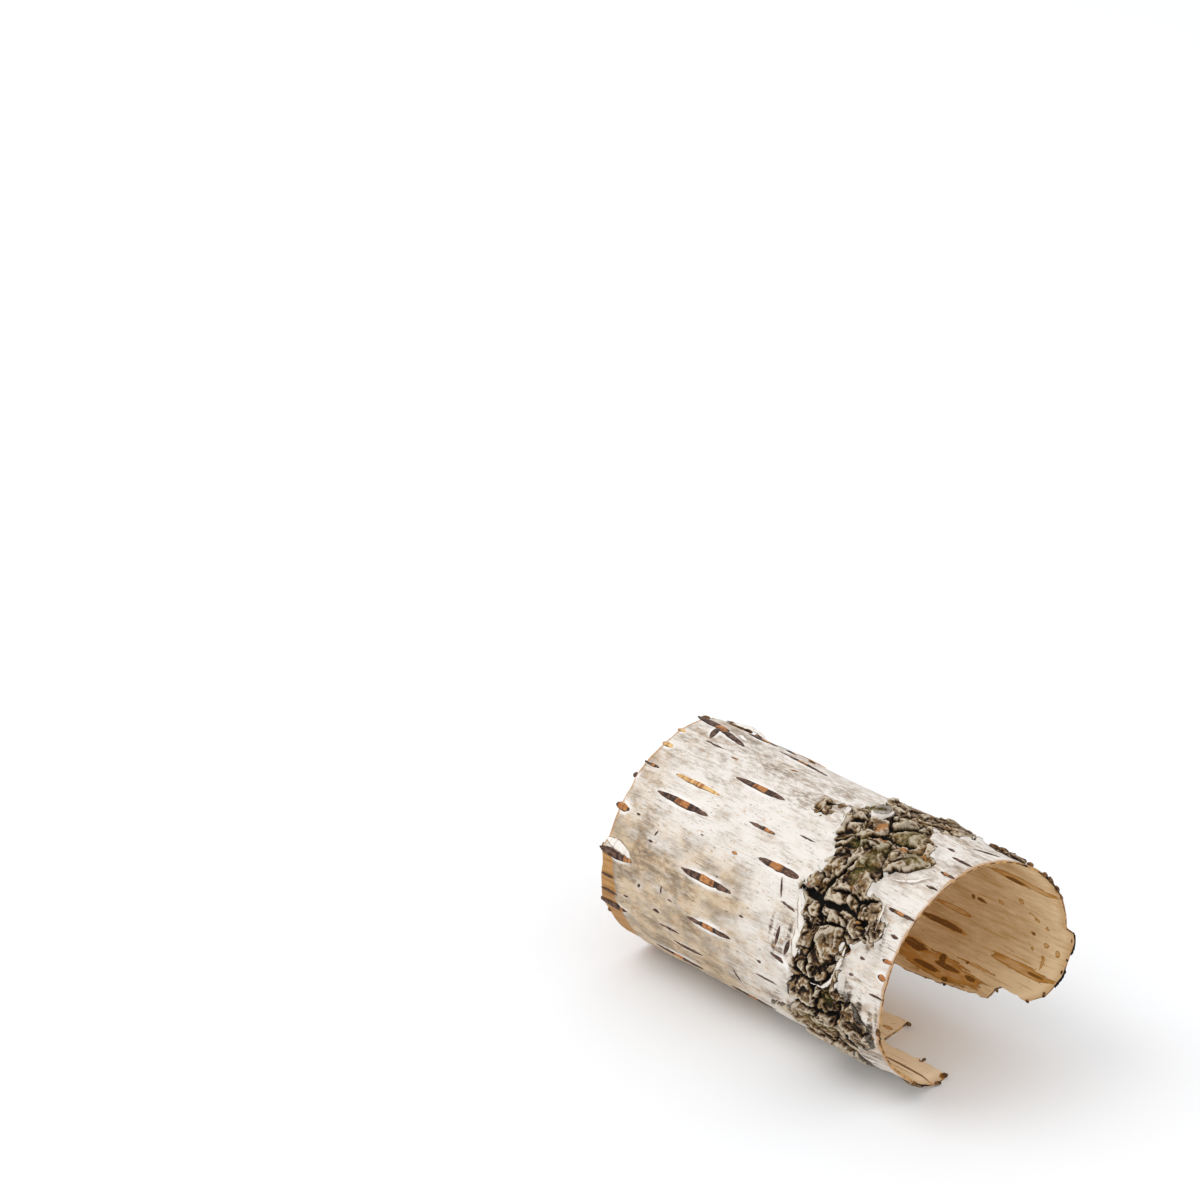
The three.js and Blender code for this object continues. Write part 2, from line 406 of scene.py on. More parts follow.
    def on_lumps(self, x: Array, y: Array) -> tuple[Array, Array]:
        """Finds the nearest lump beside the band.

        Args:
            x: Places along the roll, mm.
            y: Places round the roll, mm.

        Returns:
            How far places lie inside it, and its thickness, mm.
        """
        inside, thick = np.full(x.shape, -9.0), np.zeros(x.shape)
        ragged = self.lump_fray * Grain(Seed.FRAY).at(x, y + 70.0, (1.3, 1.3), 3)
        for place, angle, length, width, thickness in self.LUMPS:
            across = np.hypot((x - place) * 2 / length, (y - float(ROLL.y_at(angle))) * 2 / width)
            here = (1.0 - across) * min(length, width) / 2 + ragged
            thick = np.where(here > inside, thickness, thick)
            inside = np.maximum(inside, here)
        to_end = along(ROLL.FRONT_END, ROLL.angle_at(y)) - x - self.lump_margin
        return np.minimum(inside, to_end), thick


BAND = Band()


class NodeGraph:
    """Adds and links the nodes of one tree, for a shader or for Geometry Nodes."""

    def __init__(self, tree: bpy.types.NodeTree) -> None:
        """Takes the tree to work on."""
        self.tree = tree

    def add(self, kind: str, inputs: Inputs | None = None, **settings: Any) -> bpy.types.Node:
        """Adds a node.

        Args:
            kind: The node's type.
            inputs: Sockets to link or constants to set, by the input's name or number.
            settings: The node's own properties.

        Returns:
            The node.
        """
        node = self.tree.nodes.new(kind)
        for name, value in settings.items():
            setattr(node, name, value)
        for key, value in (inputs or {}).items():
            self.feed(node.inputs[key], value)
        return node

    def feed(self, socket: Socket, value: Any) -> None:
        """Links a socket into an input, or sets the input to a constant.

        Args:
            socket: The input.
            value: An output to link, or a constant.
        """
        if isinstance(value, Socket):
            self.tree.links.new(value, socket)
        else:
            socket.default_value = value

    def out(self, kind: str, inputs: Inputs | None = None, **settings: Any) -> Socket:
        """The first output of a new node."""
        return self.add(kind, inputs, **settings).outputs[0]

    def math(self, operation: str, first: Any, second: Any = 0.0, third: Any = 0.0) -> Socket:
        """A Math node's result."""
        return self.out("ShaderNodeMath", {0: first, 1: second, 2: third}, operation=operation)

    def split(self, vector: Socket) -> list[Socket]:
        """The three parts of a vector."""
        return list(self.add("ShaderNodeSeparateXYZ", {0: vector}).outputs)

    def joined(self, x: Any, y: Any, z: Any = 0.0) -> Socket:
        """A vector made of three parts."""
        return self.out("ShaderNodeCombineXYZ", {0: x, 1: y, 2: z})

    def stretch(self, vector: Socket, scale: Scale) -> Socket:
        """A vector scaled differently along each axis."""
        return self.out("ShaderNodeVectorMath", {0: vector, 1: scale}, operation="MULTIPLY")

    def noise(self, vector: Socket, scale: Scale, detail: float = 4.0, rough: float = 0.55) -> Socket:
        """Fractal noise from 0 to 1, with features one unit of the scaled vector long."""
        inputs = {"Vector": self.stretch(vector, scale), "Scale": 1.0, "Detail": detail, "Roughness": rough}
        return self.out("ShaderNodeTexNoise", inputs)


class Paint(NodeGraph):
    """The nodes of one material, which read the attributes of the piece that wears it."""

    def __init__(self, tree: bpy.types.NodeTree, specular: float) -> None:
        """Starts the tree with a shader and with the places on the flat bark, mm.

        Args:
            tree: The material's tree.
            specular: The shader's specular level.
        """
        super().__init__(tree)
        self.shader = self.add("ShaderNodeBsdfPrincipled", {"Specular IOR Level": specular})
        self.flat = self.attribute("flat", "Vector")

    def attribute(self, name: str, output: str = "Fac") -> Socket:
        """A mesh attribute."""
        return self.add("ShaderNodeAttribute", attribute_name=name).outputs[output]

    def grain(self, scale: Scale, detail: float = 4.0, rough: float = 0.55) -> Socket:
        """Fractal noise on the flat bark."""
        return self.noise(self.flat, scale, detail, rough)

    def ragged(self, value: Socket | str, noise: Socket, depth: float) -> Socket:
        """A value, or an attribute by name, that noise moves up and down by half a depth."""
        value = self.attribute(value) if isinstance(value, str) else value
        return self.math("MULTIPLY_ADD", self.math("SUBTRACT", noise, 0.5), depth, value)

    def fit(self, value: Socket, low: float, high: float, first: float = 0.0, last: float = 1.0) -> Socket:
        """A value eased from one range into another."""
        inputs = {"Value": value, "From Min": low, "From Max": high, "To Min": first, "To Max": last}
        return self.out("ShaderNodeMapRange", inputs, interpolation_type="SMOOTHSTEP")

    def blend(self, share: Socket, first: Socket | str, second: Socket | str, mode: str = "MIX") -> Socket:
        """Mixes two colours; a string is a screen colour.

        Args:
            share: How much of the second colour shows.
            first: The first colour.
            second: The second colour.
            mode: How the colours mix.

        Returns:
            The mixed colour.
        """
        first, second = [tint(colour) if isinstance(colour, str) else colour for colour in (first, second)]
        inputs = {0: share, 6: first, 7: second}
        return self.add("ShaderNodeMix", inputs, data_type="RGBA", blend_type=mode).outputs[2]

    def coat(
        self, under: Socket | str, over: Socket | str, value: Socket, low: float, high: float,
        share: float = 1.0, mode: str = "MIX",
    ) -> Socket:
        """Lays a colour over another as a value rises.

        Args:
            under: The colour below.
            over: The colour on top.
            value: What decides how much of the upper colour shows.
            low: The value at which the upper colour begins.
            high: The value from which its full share shows.
            share: Its full share, from 0 to 1.
            mode: How the colours mix.

        Returns:
            The mixed colour.
        """
        return self.blend(self.fit(value, low, high, 0.0, share), under, over, mode)

    def coats(self, under: Socket | str, *rows: Coat) -> Socket:
        """Lays several colours over one.

        Args:
            under: The colour below.
            rows: The arguments of each coat, from its upper colour on.

        Returns:
            The mixed colour.
        """
        for row in rows:
            under = self.coat(under, *row)
        return under

    def surface(self, colour: Socket, roughness: Socket, height: Socket, depth: float) -> None:
        """Links a colour, a roughness and a bump into the shader.

        Args:
            colour: The base colour.
            roughness: The roughness.
            height: The bump's height.
            depth: How deep a height of 1 is, mm.
        """
        bump = self.out("ShaderNodeBump", {"Strength": 1.0, "Distance": depth * MM, "Height": height})
        for name, value in {"Base Color": colour, "Roughness": roughness, "Normal": bump}.items():
            self.feed(self.shader.inputs[name], value)


class Finish:
    """A surface finish: a material whose nodes read the piece's own attributes."""

    name: str = "finish"
    specular: float = 0.3

    def material(self) -> bpy.types.Material:
        """Builds the material.

        Returns:
            The material, with its colour, roughness and bump from nodes.
        """
        made = bpy.data.materials.new(self.name)
        made.use_nodes = True
        made.node_tree.nodes.clear()
        graph = Paint(made.node_tree, self.specular)
        self.paint(graph)
        graph.add("ShaderNodeOutputMaterial", {0: graph.shader.outputs[0]})
        return made

    def paint(self, graph: Paint) -> None:
        """Links the finish's own nodes into the shader."""
        raise NotImplementedError


@dataclass(frozen=True)
class SheetFinish(Finish):
    """White papery bark outside, tan grain inside and orange-brown torn rims."""

    name: str = "white_bark_sheet"
    white: str = "e6e0d9"
    bright: str = "f5f1ed"
    beige: str = "cdb698"
    drab: str = "aa9984"
    veil: str = "cfc6bd"
    smudge: str = "86776a"
    soil: str = "33271f"
    hairline: str = "5e4f42"
    fleck: str = "b98a58"
    peeled: str = "c0925c"
    peeled_dark: str = "946839"
    cream: str = "efd6ad"
    # The cream of the painted light on the inner face.
    painted_light_colour: str = "fbe9cd"
    tan: str = "c29c6a"
    scar_gold: str = "bd8229"
    scar_dark: str = "66400c"
    rim: str = "cd9c5c"
    rim_dark: str = "5f3b1a"

    def outside(self, graph: Paint) -> Socket:
        """The colour of the white face, with its stains, hairlines, pore rims and peeled strip.

        Args:
            graph: The material's nodes.

        Returns:
            The colour.
        """
        broad = graph.grain((0.1, 0.3, 0.1), 5.0, 0.6)
        streak = graph.grain((0.2, 2.4, 0.5), 5.0, 0.65)
        blotch = graph.grain((0.32, 0.5, 0.3), 6.0, 0.7)
        fibre = graph.grain((0.6, 1.5, 0.5), 7.0, 0.72)
        cloud = graph.grain((0.26, 0.34, 0.3), 6.0, 0.62)
        mottle = graph.math("MULTIPLY_ADD", streak, 0.35, graph.math("MULTIPLY_ADD", blotch, 0.7, broad))
        mottle = graph.ragged(graph.math("SUBTRACT", mottle, 1.02), fibre, 0.45)
        warm = graph.math("MULTIPLY_ADD", mottle, 1.4, graph.attribute("beige"))
        colour = graph.coat(self.white, graph.coat(self.beige, self.drab, cloud, 0.42, 0.6), warm, 0.0, 1.0)
        stain = graph.math("MULTIPLY", graph.attribute("smudge"), graph.fit(fibre, 0.36, 0.66, 0.2, 1.7))
        grey = graph.math("MULTIPLY_ADD", mottle, 2.4, stain)
        colour = graph.coats(
            colour,
            (self.veil, grey, 0.0, 0.9, 0.85, "MULTIPLY"),
            (self.smudge, grey, 0.65, 1.6, 0.8),
            (self.soil, grey, 1.6, 2.8, 0.85),
        )
        speckle = graph.fit(graph.grain((1.9, 2.6, 1.0), 6.0, 0.8), 0.5, 0.75)
        brushed = graph.fit(graph.grain((0.3, 3.0, 0.5), 6.0, 0.7), 0.48, 0.66)
        for mark, where in (
            (speckle, graph.fit(blotch, 0.44, 0.62, 0.05, 0.65)),
            (brushed, graph.fit(cloud, 0.4, 0.6, 0.05, 0.55)),
        ):
            colour = graph.blend(graph.math("MULTIPLY", mark, where), colour, self.veil, "MULTIPLY")
        colour = graph.coats(
            colour,
            (self.hairline, graph.grain((0.25, 5.5, 0.5), 3.0, 0.55), 0.59, 0.72, 0.6),
            (self.hairline, graph.grain((1.1, 3.0, 1.0), 2.0, 0.5), 0.67, 0.72, 0.8),
            (self.fleck, graph.grain((0.7, 1.6, 1.0), 3.0, 0.6), 0.6, 0.72, 0.65),
            (self.bright, graph.attribute("halo"), 0.45, 0.85, 0.8),
        )
        hem = graph.fit(graph.ragged("to_end", blotch, 1.6), 0.1, 0.5, 0.75, 0.0)
        colour = graph.blend(hem, colour, self.fleck)
        peel = graph.ragged("peel", broad, 0.9)
        bare = graph.coat(self.peeled, self.peeled_dark, streak, 0.35, 0.7)
        # The grey band on the white side of the peeled strip's edge is a painted shadow along the edge of the
        # torn white layer.
        return graph.coats(colour, (self.smudge, peel, -0.75, 0.0, 0.5), (bare, peel, 0.0, 0.12))

    def inside(self, graph: Paint) -> Socket:
        """The colour of the inner face, with its grain, painted light on its lower far wall, its near tongue
        and its front end, and its scars.

        Args:
            graph: The material's nodes.

        Returns:
            The colour.
        """
        broad = graph.grain((0.08, 0.25, 0.5), 3.0)
        mottle = graph.math("MULTIPLY", broad, 0.9)
        mottle = graph.math("MULTIPLY_ADD", graph.grain((0.14, 1.9, 0.5), 5.0, 0.6), 0.5, mottle)
        mottle = graph.math("MULTIPLY_ADD", graph.grain((0.5, 3.0, 0.5), 5.0, 0.75), 0.6, mottle)
        # Painted light: where this field rises, the inner face loses its mottle and turns a light cream.
        painted_light = graph.attribute("painted_light")
        mottle = graph.math("SUBTRACT", mottle, graph.math("MINIMUM", painted_light, 0.42))
        colour = graph.coats(self.cream, (self.tan, mottle, 0.65, 1.25), (self.painted_light_colour, painted_light, 0.4, 0.6, 0.6))
        shred = graph.grain((0.3, 1.7, 0.5), 5.0, 0.6)
        rag = graph.math("MULTIPLY", graph.math("SUBTRACT", shred, 0.5), 2.6)
        gold, dark = [graph.math("ADD", graph.attribute(name), rag) for name in ("scar_gold", "scar_dark")]
        colour = graph.coat(colour, self.scar_gold, gold, -0.08, 0.06, 0.9)
        edge = graph.math("MULTIPLY", graph.fit(gold, -0.05, 0.05), graph.fit(gold, 0.08, 0.35, 0.4, 0.0))
        colour = graph.coats(
            graph.blend(edge, colour, self.scar_dark),
            (self.cream, gold, 0.4, 0.9, 0.35),
            (self.scar_gold, dark, -0.35, -0.2, 0.85),
            (self.scar_dark, dark, -0.02, 0.12, 0.85),
        )
        near_end = graph.fit(graph.attribute("to_end"), 0.0, 1.6, 0.4, 0.0)
        return graph.coats(
            graph.blend(near_end, colour, self.scar_gold),
            (self.scar_gold, graph.grain((0.12, 3.4, 0.5), 4.0, 0.6), 0.57, 0.7, 0.65),
            (self.scar_gold, graph.grain((0.9, 2.2, 1.0), 2.0, 0.5), 0.68, 0.74, 0.7),
        )

    def paint(self, graph: Paint) -> None:
        """Links the two faces and the rim between them into the shader."""
        side = graph.attribute("side")
        rim = graph.coat(self.rim, self.rim_dark, graph.grain((0.9, 0.9, 0.9), 4.0, 0.7), 0.4, 0.56)
        inner = self.inside(graph)
        colour = graph.coats(self.outside(graph), (rim, side, 0.2, 0.4), (inner, side, 0.8, 0.98))
        ridge = graph.grain((0.5, 4.5, 1.0), 5.0, 0.6)
        graph.surface(colour, graph.fit(ridge, 0.3, 0.7, 0.62, 0.85), ridge, 0.09)


@dataclass(frozen=True)
class CorkFinish(Finish):
    """Grey-brown cork with black cracks, pale flakes and crests, a green tint, orange torn cork and white
    film; its hollows carry painted shade and its crests a painted highlight.
    """

    name: str = "grey_cork"
    specular: float = 0.25
    dark: str = "120a05"
    brown: str = "4f351d"
    grey: str = "7c6850"
    ochre: str = "866639"
    pale: str = "cebfa9"
    # Near-black for the cracks and the cork's border: painted shade in the cracks' depth over their dark
    # bark, and a painted shadow line along the border.
    crack: str = "0a0705"
    green: str = "766c30"
    orange: str = "b47a44"
    film: str = "ebe5dd"

    def paint(self, graph: Paint) -> None:
        """Links the colour by painted cavity shade and highlight, grain, crack and tint into the shader."""
        grit = graph.grain((2.6, 3.2, 1.0), 6.0, 0.8)
        run = graph.joined(graph.attribute("grain_u"), graph.attribute("grain_v"))
        flakes = graph.noise(run, (0.8, 3.2, 1.0), 4.0, 0.65)
        shade = graph.math("MULTIPLY_ADD", grit, 1.3, graph.attribute("tone"))
        shade = graph.math("MULTIPLY_ADD", flakes, 0.9, shade)
        bark = graph.coat(self.grey, self.ochre, graph.grain((0.45, 0.6, 1.0), 4.0, 0.65), 0.42, 0.6)
        # The tone attribute carries painted shade in hollows and a painted highlight on crests, beside random
        # tone; low shade values go dark brown and high ones pale.
        colour = graph.coats(
            self.dark,
            (self.brown, shade, 0.7, 1.1),
            (bark, shade, 0.95, 1.35),
            (self.pale, shade, 1.35, 1.9),
        )
        mossy = graph.math("MULTIPLY", graph.attribute("moss"), graph.fit(grit, 0.36, 0.62, 0.05, 0.7))
        colour = graph.blend(mossy, colour, self.green)
        film = graph.ragged("film", grit, 0.5)
        outline = graph.math("MULTIPLY", graph.fit(film, 0.1, 0.3), graph.fit(film, 0.4, 0.6, 0.8, 0.0))
        colour = graph.coat(colour, self.film, film, 0.35, 0.6)
        # Near-black in the cracks and along the cork's border: painted shade in the cracks' depth over their
        # dark bark, and a painted shadow line where the cork meets the white sheet.
        colour = graph.coats(
            graph.blend(outline, colour, self.dark),
            (self.orange, graph.ragged("torn", flakes, 1.6), 0.3, 0.7, 0.85),
            (self.crack, graph.attribute("crack"), 0.3, 0.95),
        )
        height = graph.math("MULTIPLY_ADD", flakes, 0.8, grit)
        graph.surface(colour, graph.fit(shade, 0.8, 1.7, 0.95, 0.42), height, 0.16)


@dataclass(frozen=True)
class PoreFinish(Finish):
    """Breathing pores: dark brown spindles, crossed by black bands, with an orange-tan core."""

    name: str = "brown_pore"
    black: str = "2c1c15"
    brown: str = "7d5d4b"
    core: str = "a2663a"
    gold: str = "d09a5a"
    gilt: str = "e2ba7c"

    def paint(self, graph: Paint) -> None:
        """Links the core, the cross bands and the dark ends into the shader."""
        along_it, across_it, _ = graph.split(graph.attribute("lens", "Vector"))
        core_at, core_half, golden = graph.split(graph.attribute("core", "Vector"))
        grit = graph.grain((1.3, 4.0, 1.0), 4.0, 0.65)
        cross = graph.grain((1.5, 0.3, 1.0), 2.0, 0.5)
        rag = graph.math("MULTIPLY", graph.math("SUBTRACT", grit, 0.5), 0.16)
        away = graph.math("ABSOLUTE", graph.math("SUBTRACT", along_it, core_at))
        past = graph.math("SUBTRACT", graph.math("ADD", away, rag), core_half)
        colour = graph.coats(self.black, (self.brown, grit, 0.3, 0.72), (self.black, cross, 0.56, 0.66, 0.8))
        colour = graph.blend(graph.fit(past, 0.06, 0.2, 0.75, 0.0), colour, self.black)
        warm = graph.coats(self.core, (self.gold, grit, 0.4, 0.75), (self.black, cross, 0.5, 0.62, 0.5))
        colour = graph.blend(graph.fit(past, -0.03, 0.02, 1.0, 0.0), colour, warm)
        colour = graph.blend(golden, colour, graph.coat(self.gilt, self.core, cross, 0.4, 0.7))
        # Painted shade: the pore's long side towards the underside of the roll is painted black, as the shade
        # under its raised edge.
        under = graph.math("MULTIPLY_ADD", rag, 2.0, across_it)
        colour = graph.blend(graph.fit(under, -0.95, -0.4, 0.85, 0.0), colour, self.black)
        graph.surface(colour, graph.fit(grit, 0.3, 0.7, 0.85, 0.55), grit, 0.1)


@dataclass(frozen=True)
class FilmFinish(Finish):
    """Thin white outer film, brown where its edge is torn."""

    name: str = "white_film"
    white: str = "ebe5dd"
    grey: str = "b3a89b"
    brown: str = "7a5c40"

    def paint(self, graph: Paint) -> None:
        """Links the film's pale streaks and brown edges into the shader."""
        streak = graph.grain((2.5, 0.9, 1.0), 4.0, 0.65)
        torn = graph.ragged("rim", streak, 0.6)
        colour = graph.coats(self.white, (self.grey, streak, 0.5, 0.85), (self.brown, torn, 0.62, 0.9, 0.85))
        graph.surface(colour, graph.fit(streak, 0.3, 0.7, 0.55, 0.8), streak, 0.06)


@dataclass(frozen=True)
class CrumbFinish(Finish):
    """Dark brown crumbs of torn inner bark."""

    name: str = "brown_crumb"
    dark: str = "3a2716"
    brown: str = "94683c"

    def paint(self, graph: Paint) -> None:
        """Links a gritty brown into the shader."""
        grit = graph.grain((1.6, 3.0, 1.6), 5.0, 0.65)
        colour = graph.coat(self.dark, self.brown, grit, 0.38, 0.66)
        graph.surface(colour, graph.fit(grit, 0.3, 0.7, 0.95, 0.75), grit, 0.15)


class PieceTree(NodeGraph):
    """A Geometry Nodes tree with named inputs."""

    KINDS: ClassVar[dict[type, str]] = {
        int: "NodeSocketInt", float: "NodeSocketFloat", Vector: "NodeSocketVector",
        type(None): "NodeSocketMaterial",
    }

    def __init__(self, name: str, values: dict[str, Any]) -> None:
        """Starts a tree.

        Args:
            name: The tree's name.
            values: The named inputs and their values; None is a material that each piece brings.
        """
        super().__init__(bpy.data.node_groups.new(name, "GeometryNodeTree"))
        socket = self.tree.interface.new_socket
        for way in ("INPUT", "OUTPUT"):
            socket("Geometry", in_out=way, socket_type="NodeSocketGeometry")
        self.values, self.keys = values, {}
        for key, value in values.items():
            self.keys[key] = socket(key, in_out="INPUT", socket_type=self.KINDS[type(value)]).identifier
        self.given = self.add("NodeGroupInput").outputs

    def place(self) -> Socket:
        """The places of the points."""
        return self.out("GeometryNodeInputPosition")

    def read(self, name: str, kind: str = "FLOAT") -> Socket:
        """A named attribute of the points."""
        return self.out("GeometryNodeInputNamedAttribute", {"Name": name}, data_type=kind)

    def store(self, shape: Socket, name: str, value: Socket, kind: str = "FLOAT_VECTOR") -> Socket:
        """The shape with a value kept on its points as a named attribute."""
        inputs = {"Geometry": shape, "Name": name, "Value": value}
        return self.out("GeometryNodeStoreNamedAttribute", inputs, data_type=kind, domain="POINT")

    def moved(self, shape: Socket, **how: Socket) -> Socket:
        """The shape with its points at a Position or moved by an Offset."""
        return self.out("GeometryNodeSetPosition", {"Geometry": shape, **how})

    def set_out(self, shape: Socket, **how: Socket) -> Socket:
        """Sets a shape on every point of the piece, at that point's size.

        Args:
            shape: The shape.
            how: More inputs of the node, by name.

        Returns:
            The shapes as real geometry.
        """
        size = self.read("size", "FLOAT_VECTOR")
        inputs = {"Points": self.given["Geometry"], "Instance": shape, "Scale": size, **how}
        placed = self.out("GeometryNodeInstanceOnPoints", inputs)
        return self.out("GeometryNodeRealizeInstances", {0: placed})

    def shaken(self, shape: Socket, scale: float, detail: float, depth: Socket) -> Socket:
        """Moves the points of a shape about by noise.

        Args:
            shape: The shape.
            scale: How many features the noise has in a metre.
            detail: How many finer layers it has.
            depth: How far it moves the points, m.

        Returns:
            The moved shape.
        """
        noise = {"Vector": self.place(), "Scale": scale, "Detail": detail}
        shift = {0: self.add("ShaderNodeTexNoise", noise).outputs[1], 1: (0.5, 0.5, 0.5)}
        shift = {0: self.out("ShaderNodeVectorMath", shift, operation="SUBTRACT"), "Scale": depth}
        return self.moved(shape, Offset=self.out("ShaderNodeVectorMath", shift, operation="SCALE"))

    def end(self, shape: Socket) -> None:
        """Keeps the flat places in mm as an attribute and hands the shape out."""
        flat = self.stretch(self.place(), (1 / MM, 1 / MM, 1 / MM))
        self.add("NodeGroupOutput", {0: self.store(shape, "flat", flat)})

    def put_on(self, piece: bpy.types.Object, **more: Any) -> None:
        """Adds the tree to a piece as a modifier and sets its inputs by their identifiers.

        Args:
            piece: The piece.
            more: Inputs that differ from piece to piece.
        """
        modifier = piece.modifiers.new(self.tree.name, "NODES")
        modifier.node_group = self.tree
        for key, value in {**self.values, **more}.items():
            modifier[self.keys[key]] = value


class CurlTree(PieceTree):
    """The Geometry Nodes tree that curls a flat piece of bark into the roll."""

    RIPPLE: ClassVar[float] = 0.14
    RIPPLES_PER_METRE: ClassVar[float] = 95.0

    def __init__(self) -> None:
        """Builds the tree once; every piece uses it."""
        super().__init__("curl_bark", {
            "Middle": ROLL.middle(), "Radius": ROLL.radius * MM, "Ripple": self.RIPPLE * MM,
            "Ripples per Metre": self.RIPPLES_PER_METRE, "Finish": None,
        })
        given, middle = self.given, self.split(self.given["Middle"])
        x, y, height = self.split(self.place())
        waves = {"Vector": self.joined(x, y), "Scale": given["Ripples per Metre"], "Detail": 1.0}
        wave = self.math("SUBTRACT", self.out("ShaderNodeTexNoise", waves), 0.5)
        face = self.math("MULTIPLY_ADD", wave, self.math("MULTIPLY", given["Ripple"], 2.0), given["Radius"])
        angle = self.math("SUBTRACT", math.pi / 2, self.math("DIVIDE", y, given["Radius"]))
        sine, cosine = self.math("SINE", angle), self.math("COSINE", angle)
        low = self.math("MULTIPLY_ADD", face, sine, middle[2])
        pressed = self.math("MAXIMUM", self.math("MULTIPLY", low, -1.0), 0.0)
        radius = self.math("ADD", face, height)
        curled_y = self.math("MULTIPLY_ADD", radius, cosine, middle[1])
        curled_z = self.math("ADD", self.math("MULTIPLY_ADD", radius, sine, middle[2]), pressed)
        curled = self.joined(self.math("ADD", x, middle[0]), curled_y, self.math("MAXIMUM", curled_z, 0.0))
        real = self.out("GeometryNodeRealizeInstances", {0: self.moved(given["Geometry"], Position=curled)})
        dressed = self.out("GeometryNodeSetMaterial", {"Geometry": real, "Material": given["Finish"]})
        self.add("NodeGroupOutput", {0: dressed})


@dataclass
class BarkPiece:
    """A piece of the bark: it is drawn flat, curled, and then handed to the frame."""

    curl: CurlTree
    name: str = "piece"
    sharp: float = 50.0

    def finish(self) -> Finish:
        """The piece's finish."""
        raise NotImplementedError

    def flat_mesh(self) -> bpy.types.Mesh:
        """The piece's mesh on the flat bark, in metres."""
        raise NotImplementedError

    def scatter(self, piece: bpy.types.Object) -> None:
        """Adds modifiers that come before the curl; most pieces have none."""

    def build(self) -> bpy.types.Object:
        """Makes the piece, curls it and hands it to the frame.

        Returns:
            The finished object, a plain mesh at the origin.
        """
        piece = bpy.data.objects.new(self.name, self.flat_mesh())
        bpy.context.scene.collection.objects.link(piece)
        self.scatter(piece)
        material = self.finish().material()
        self.curl.put_on(piece, Finish=material)
        graph = bpy.context.evaluated_depsgraph_get()
        curled = bpy.data.meshes.new_from_object(
            piece.evaluated_get(graph), preserve_all_data_layers=True, depsgraph=graph
        )
        piece.modifiers.clear()
        piece.data = curled
        curled.name = self.name
        curled.shade_smooth()
        curled.set_sharp_from_angle(angle=math.radians(self.sharp))
        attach(piece, BODY)
        LOG.info("%s: %d faces", self.name, len(curled.polygons))
        return piece

    def mesh_of(
        self, places: Array, faces: list, fields: dict[str, Array], edges: tuple | list = ()
    ) -> bpy.types.Mesh:
        """Makes a flat mesh with attributes.

        Args:
            places: Places on the flat bark, mm, one row each.
            faces: Corner numbers of each face.
            fields: Attributes by name, one value or one row of three for each place.
            edges: Pairs of places joined by an edge without a face.

        Returns:
            The mesh, in metres, with its flat places in mm as the attribute flat.
        """
        mesh = bpy.data.meshes.new(self.name + "_flat")
        mesh.from_pydata((places * MM).tolist(), edges, faces)
        for name, values in dict(fields, flat=places).items():
            vector = values.ndim == 2
            layer = mesh.attributes.new(name, "FLOAT_VECTOR" if vector else "FLOAT", "POINT")
            numbers = np.ascontiguousarray(values, np.float32).ravel()
            layer.data.foreach_set("vector" if vector else "value", numbers)
        return mesh


def oval(x: Array, y: Array, middle: Pair, size: Pair) -> Array:
    """How far places lie inside an oval: 1 at its middle, 0 on its edge, -1 far outside."""
    across = ((x - middle[0]) / (size[0] / 2)) ** 2 + ((y - middle[1]) / (size[1] / 2)) ** 2
    return np.clip(1.0 - across, -1.0, 1.0)


class ScarTone(Enum):
    """The two tones of scars on the inner face."""

    GOLD = "scar_gold"
    DARK = "scar_dark"


@dataclass(frozen=True)
class Scar:
    """A pore's scar on the inner face: where it starts and ends, its angle and its width."""

    x_from: float
    x_to: float
    angle: float
    width: float
    tone: ScarTone


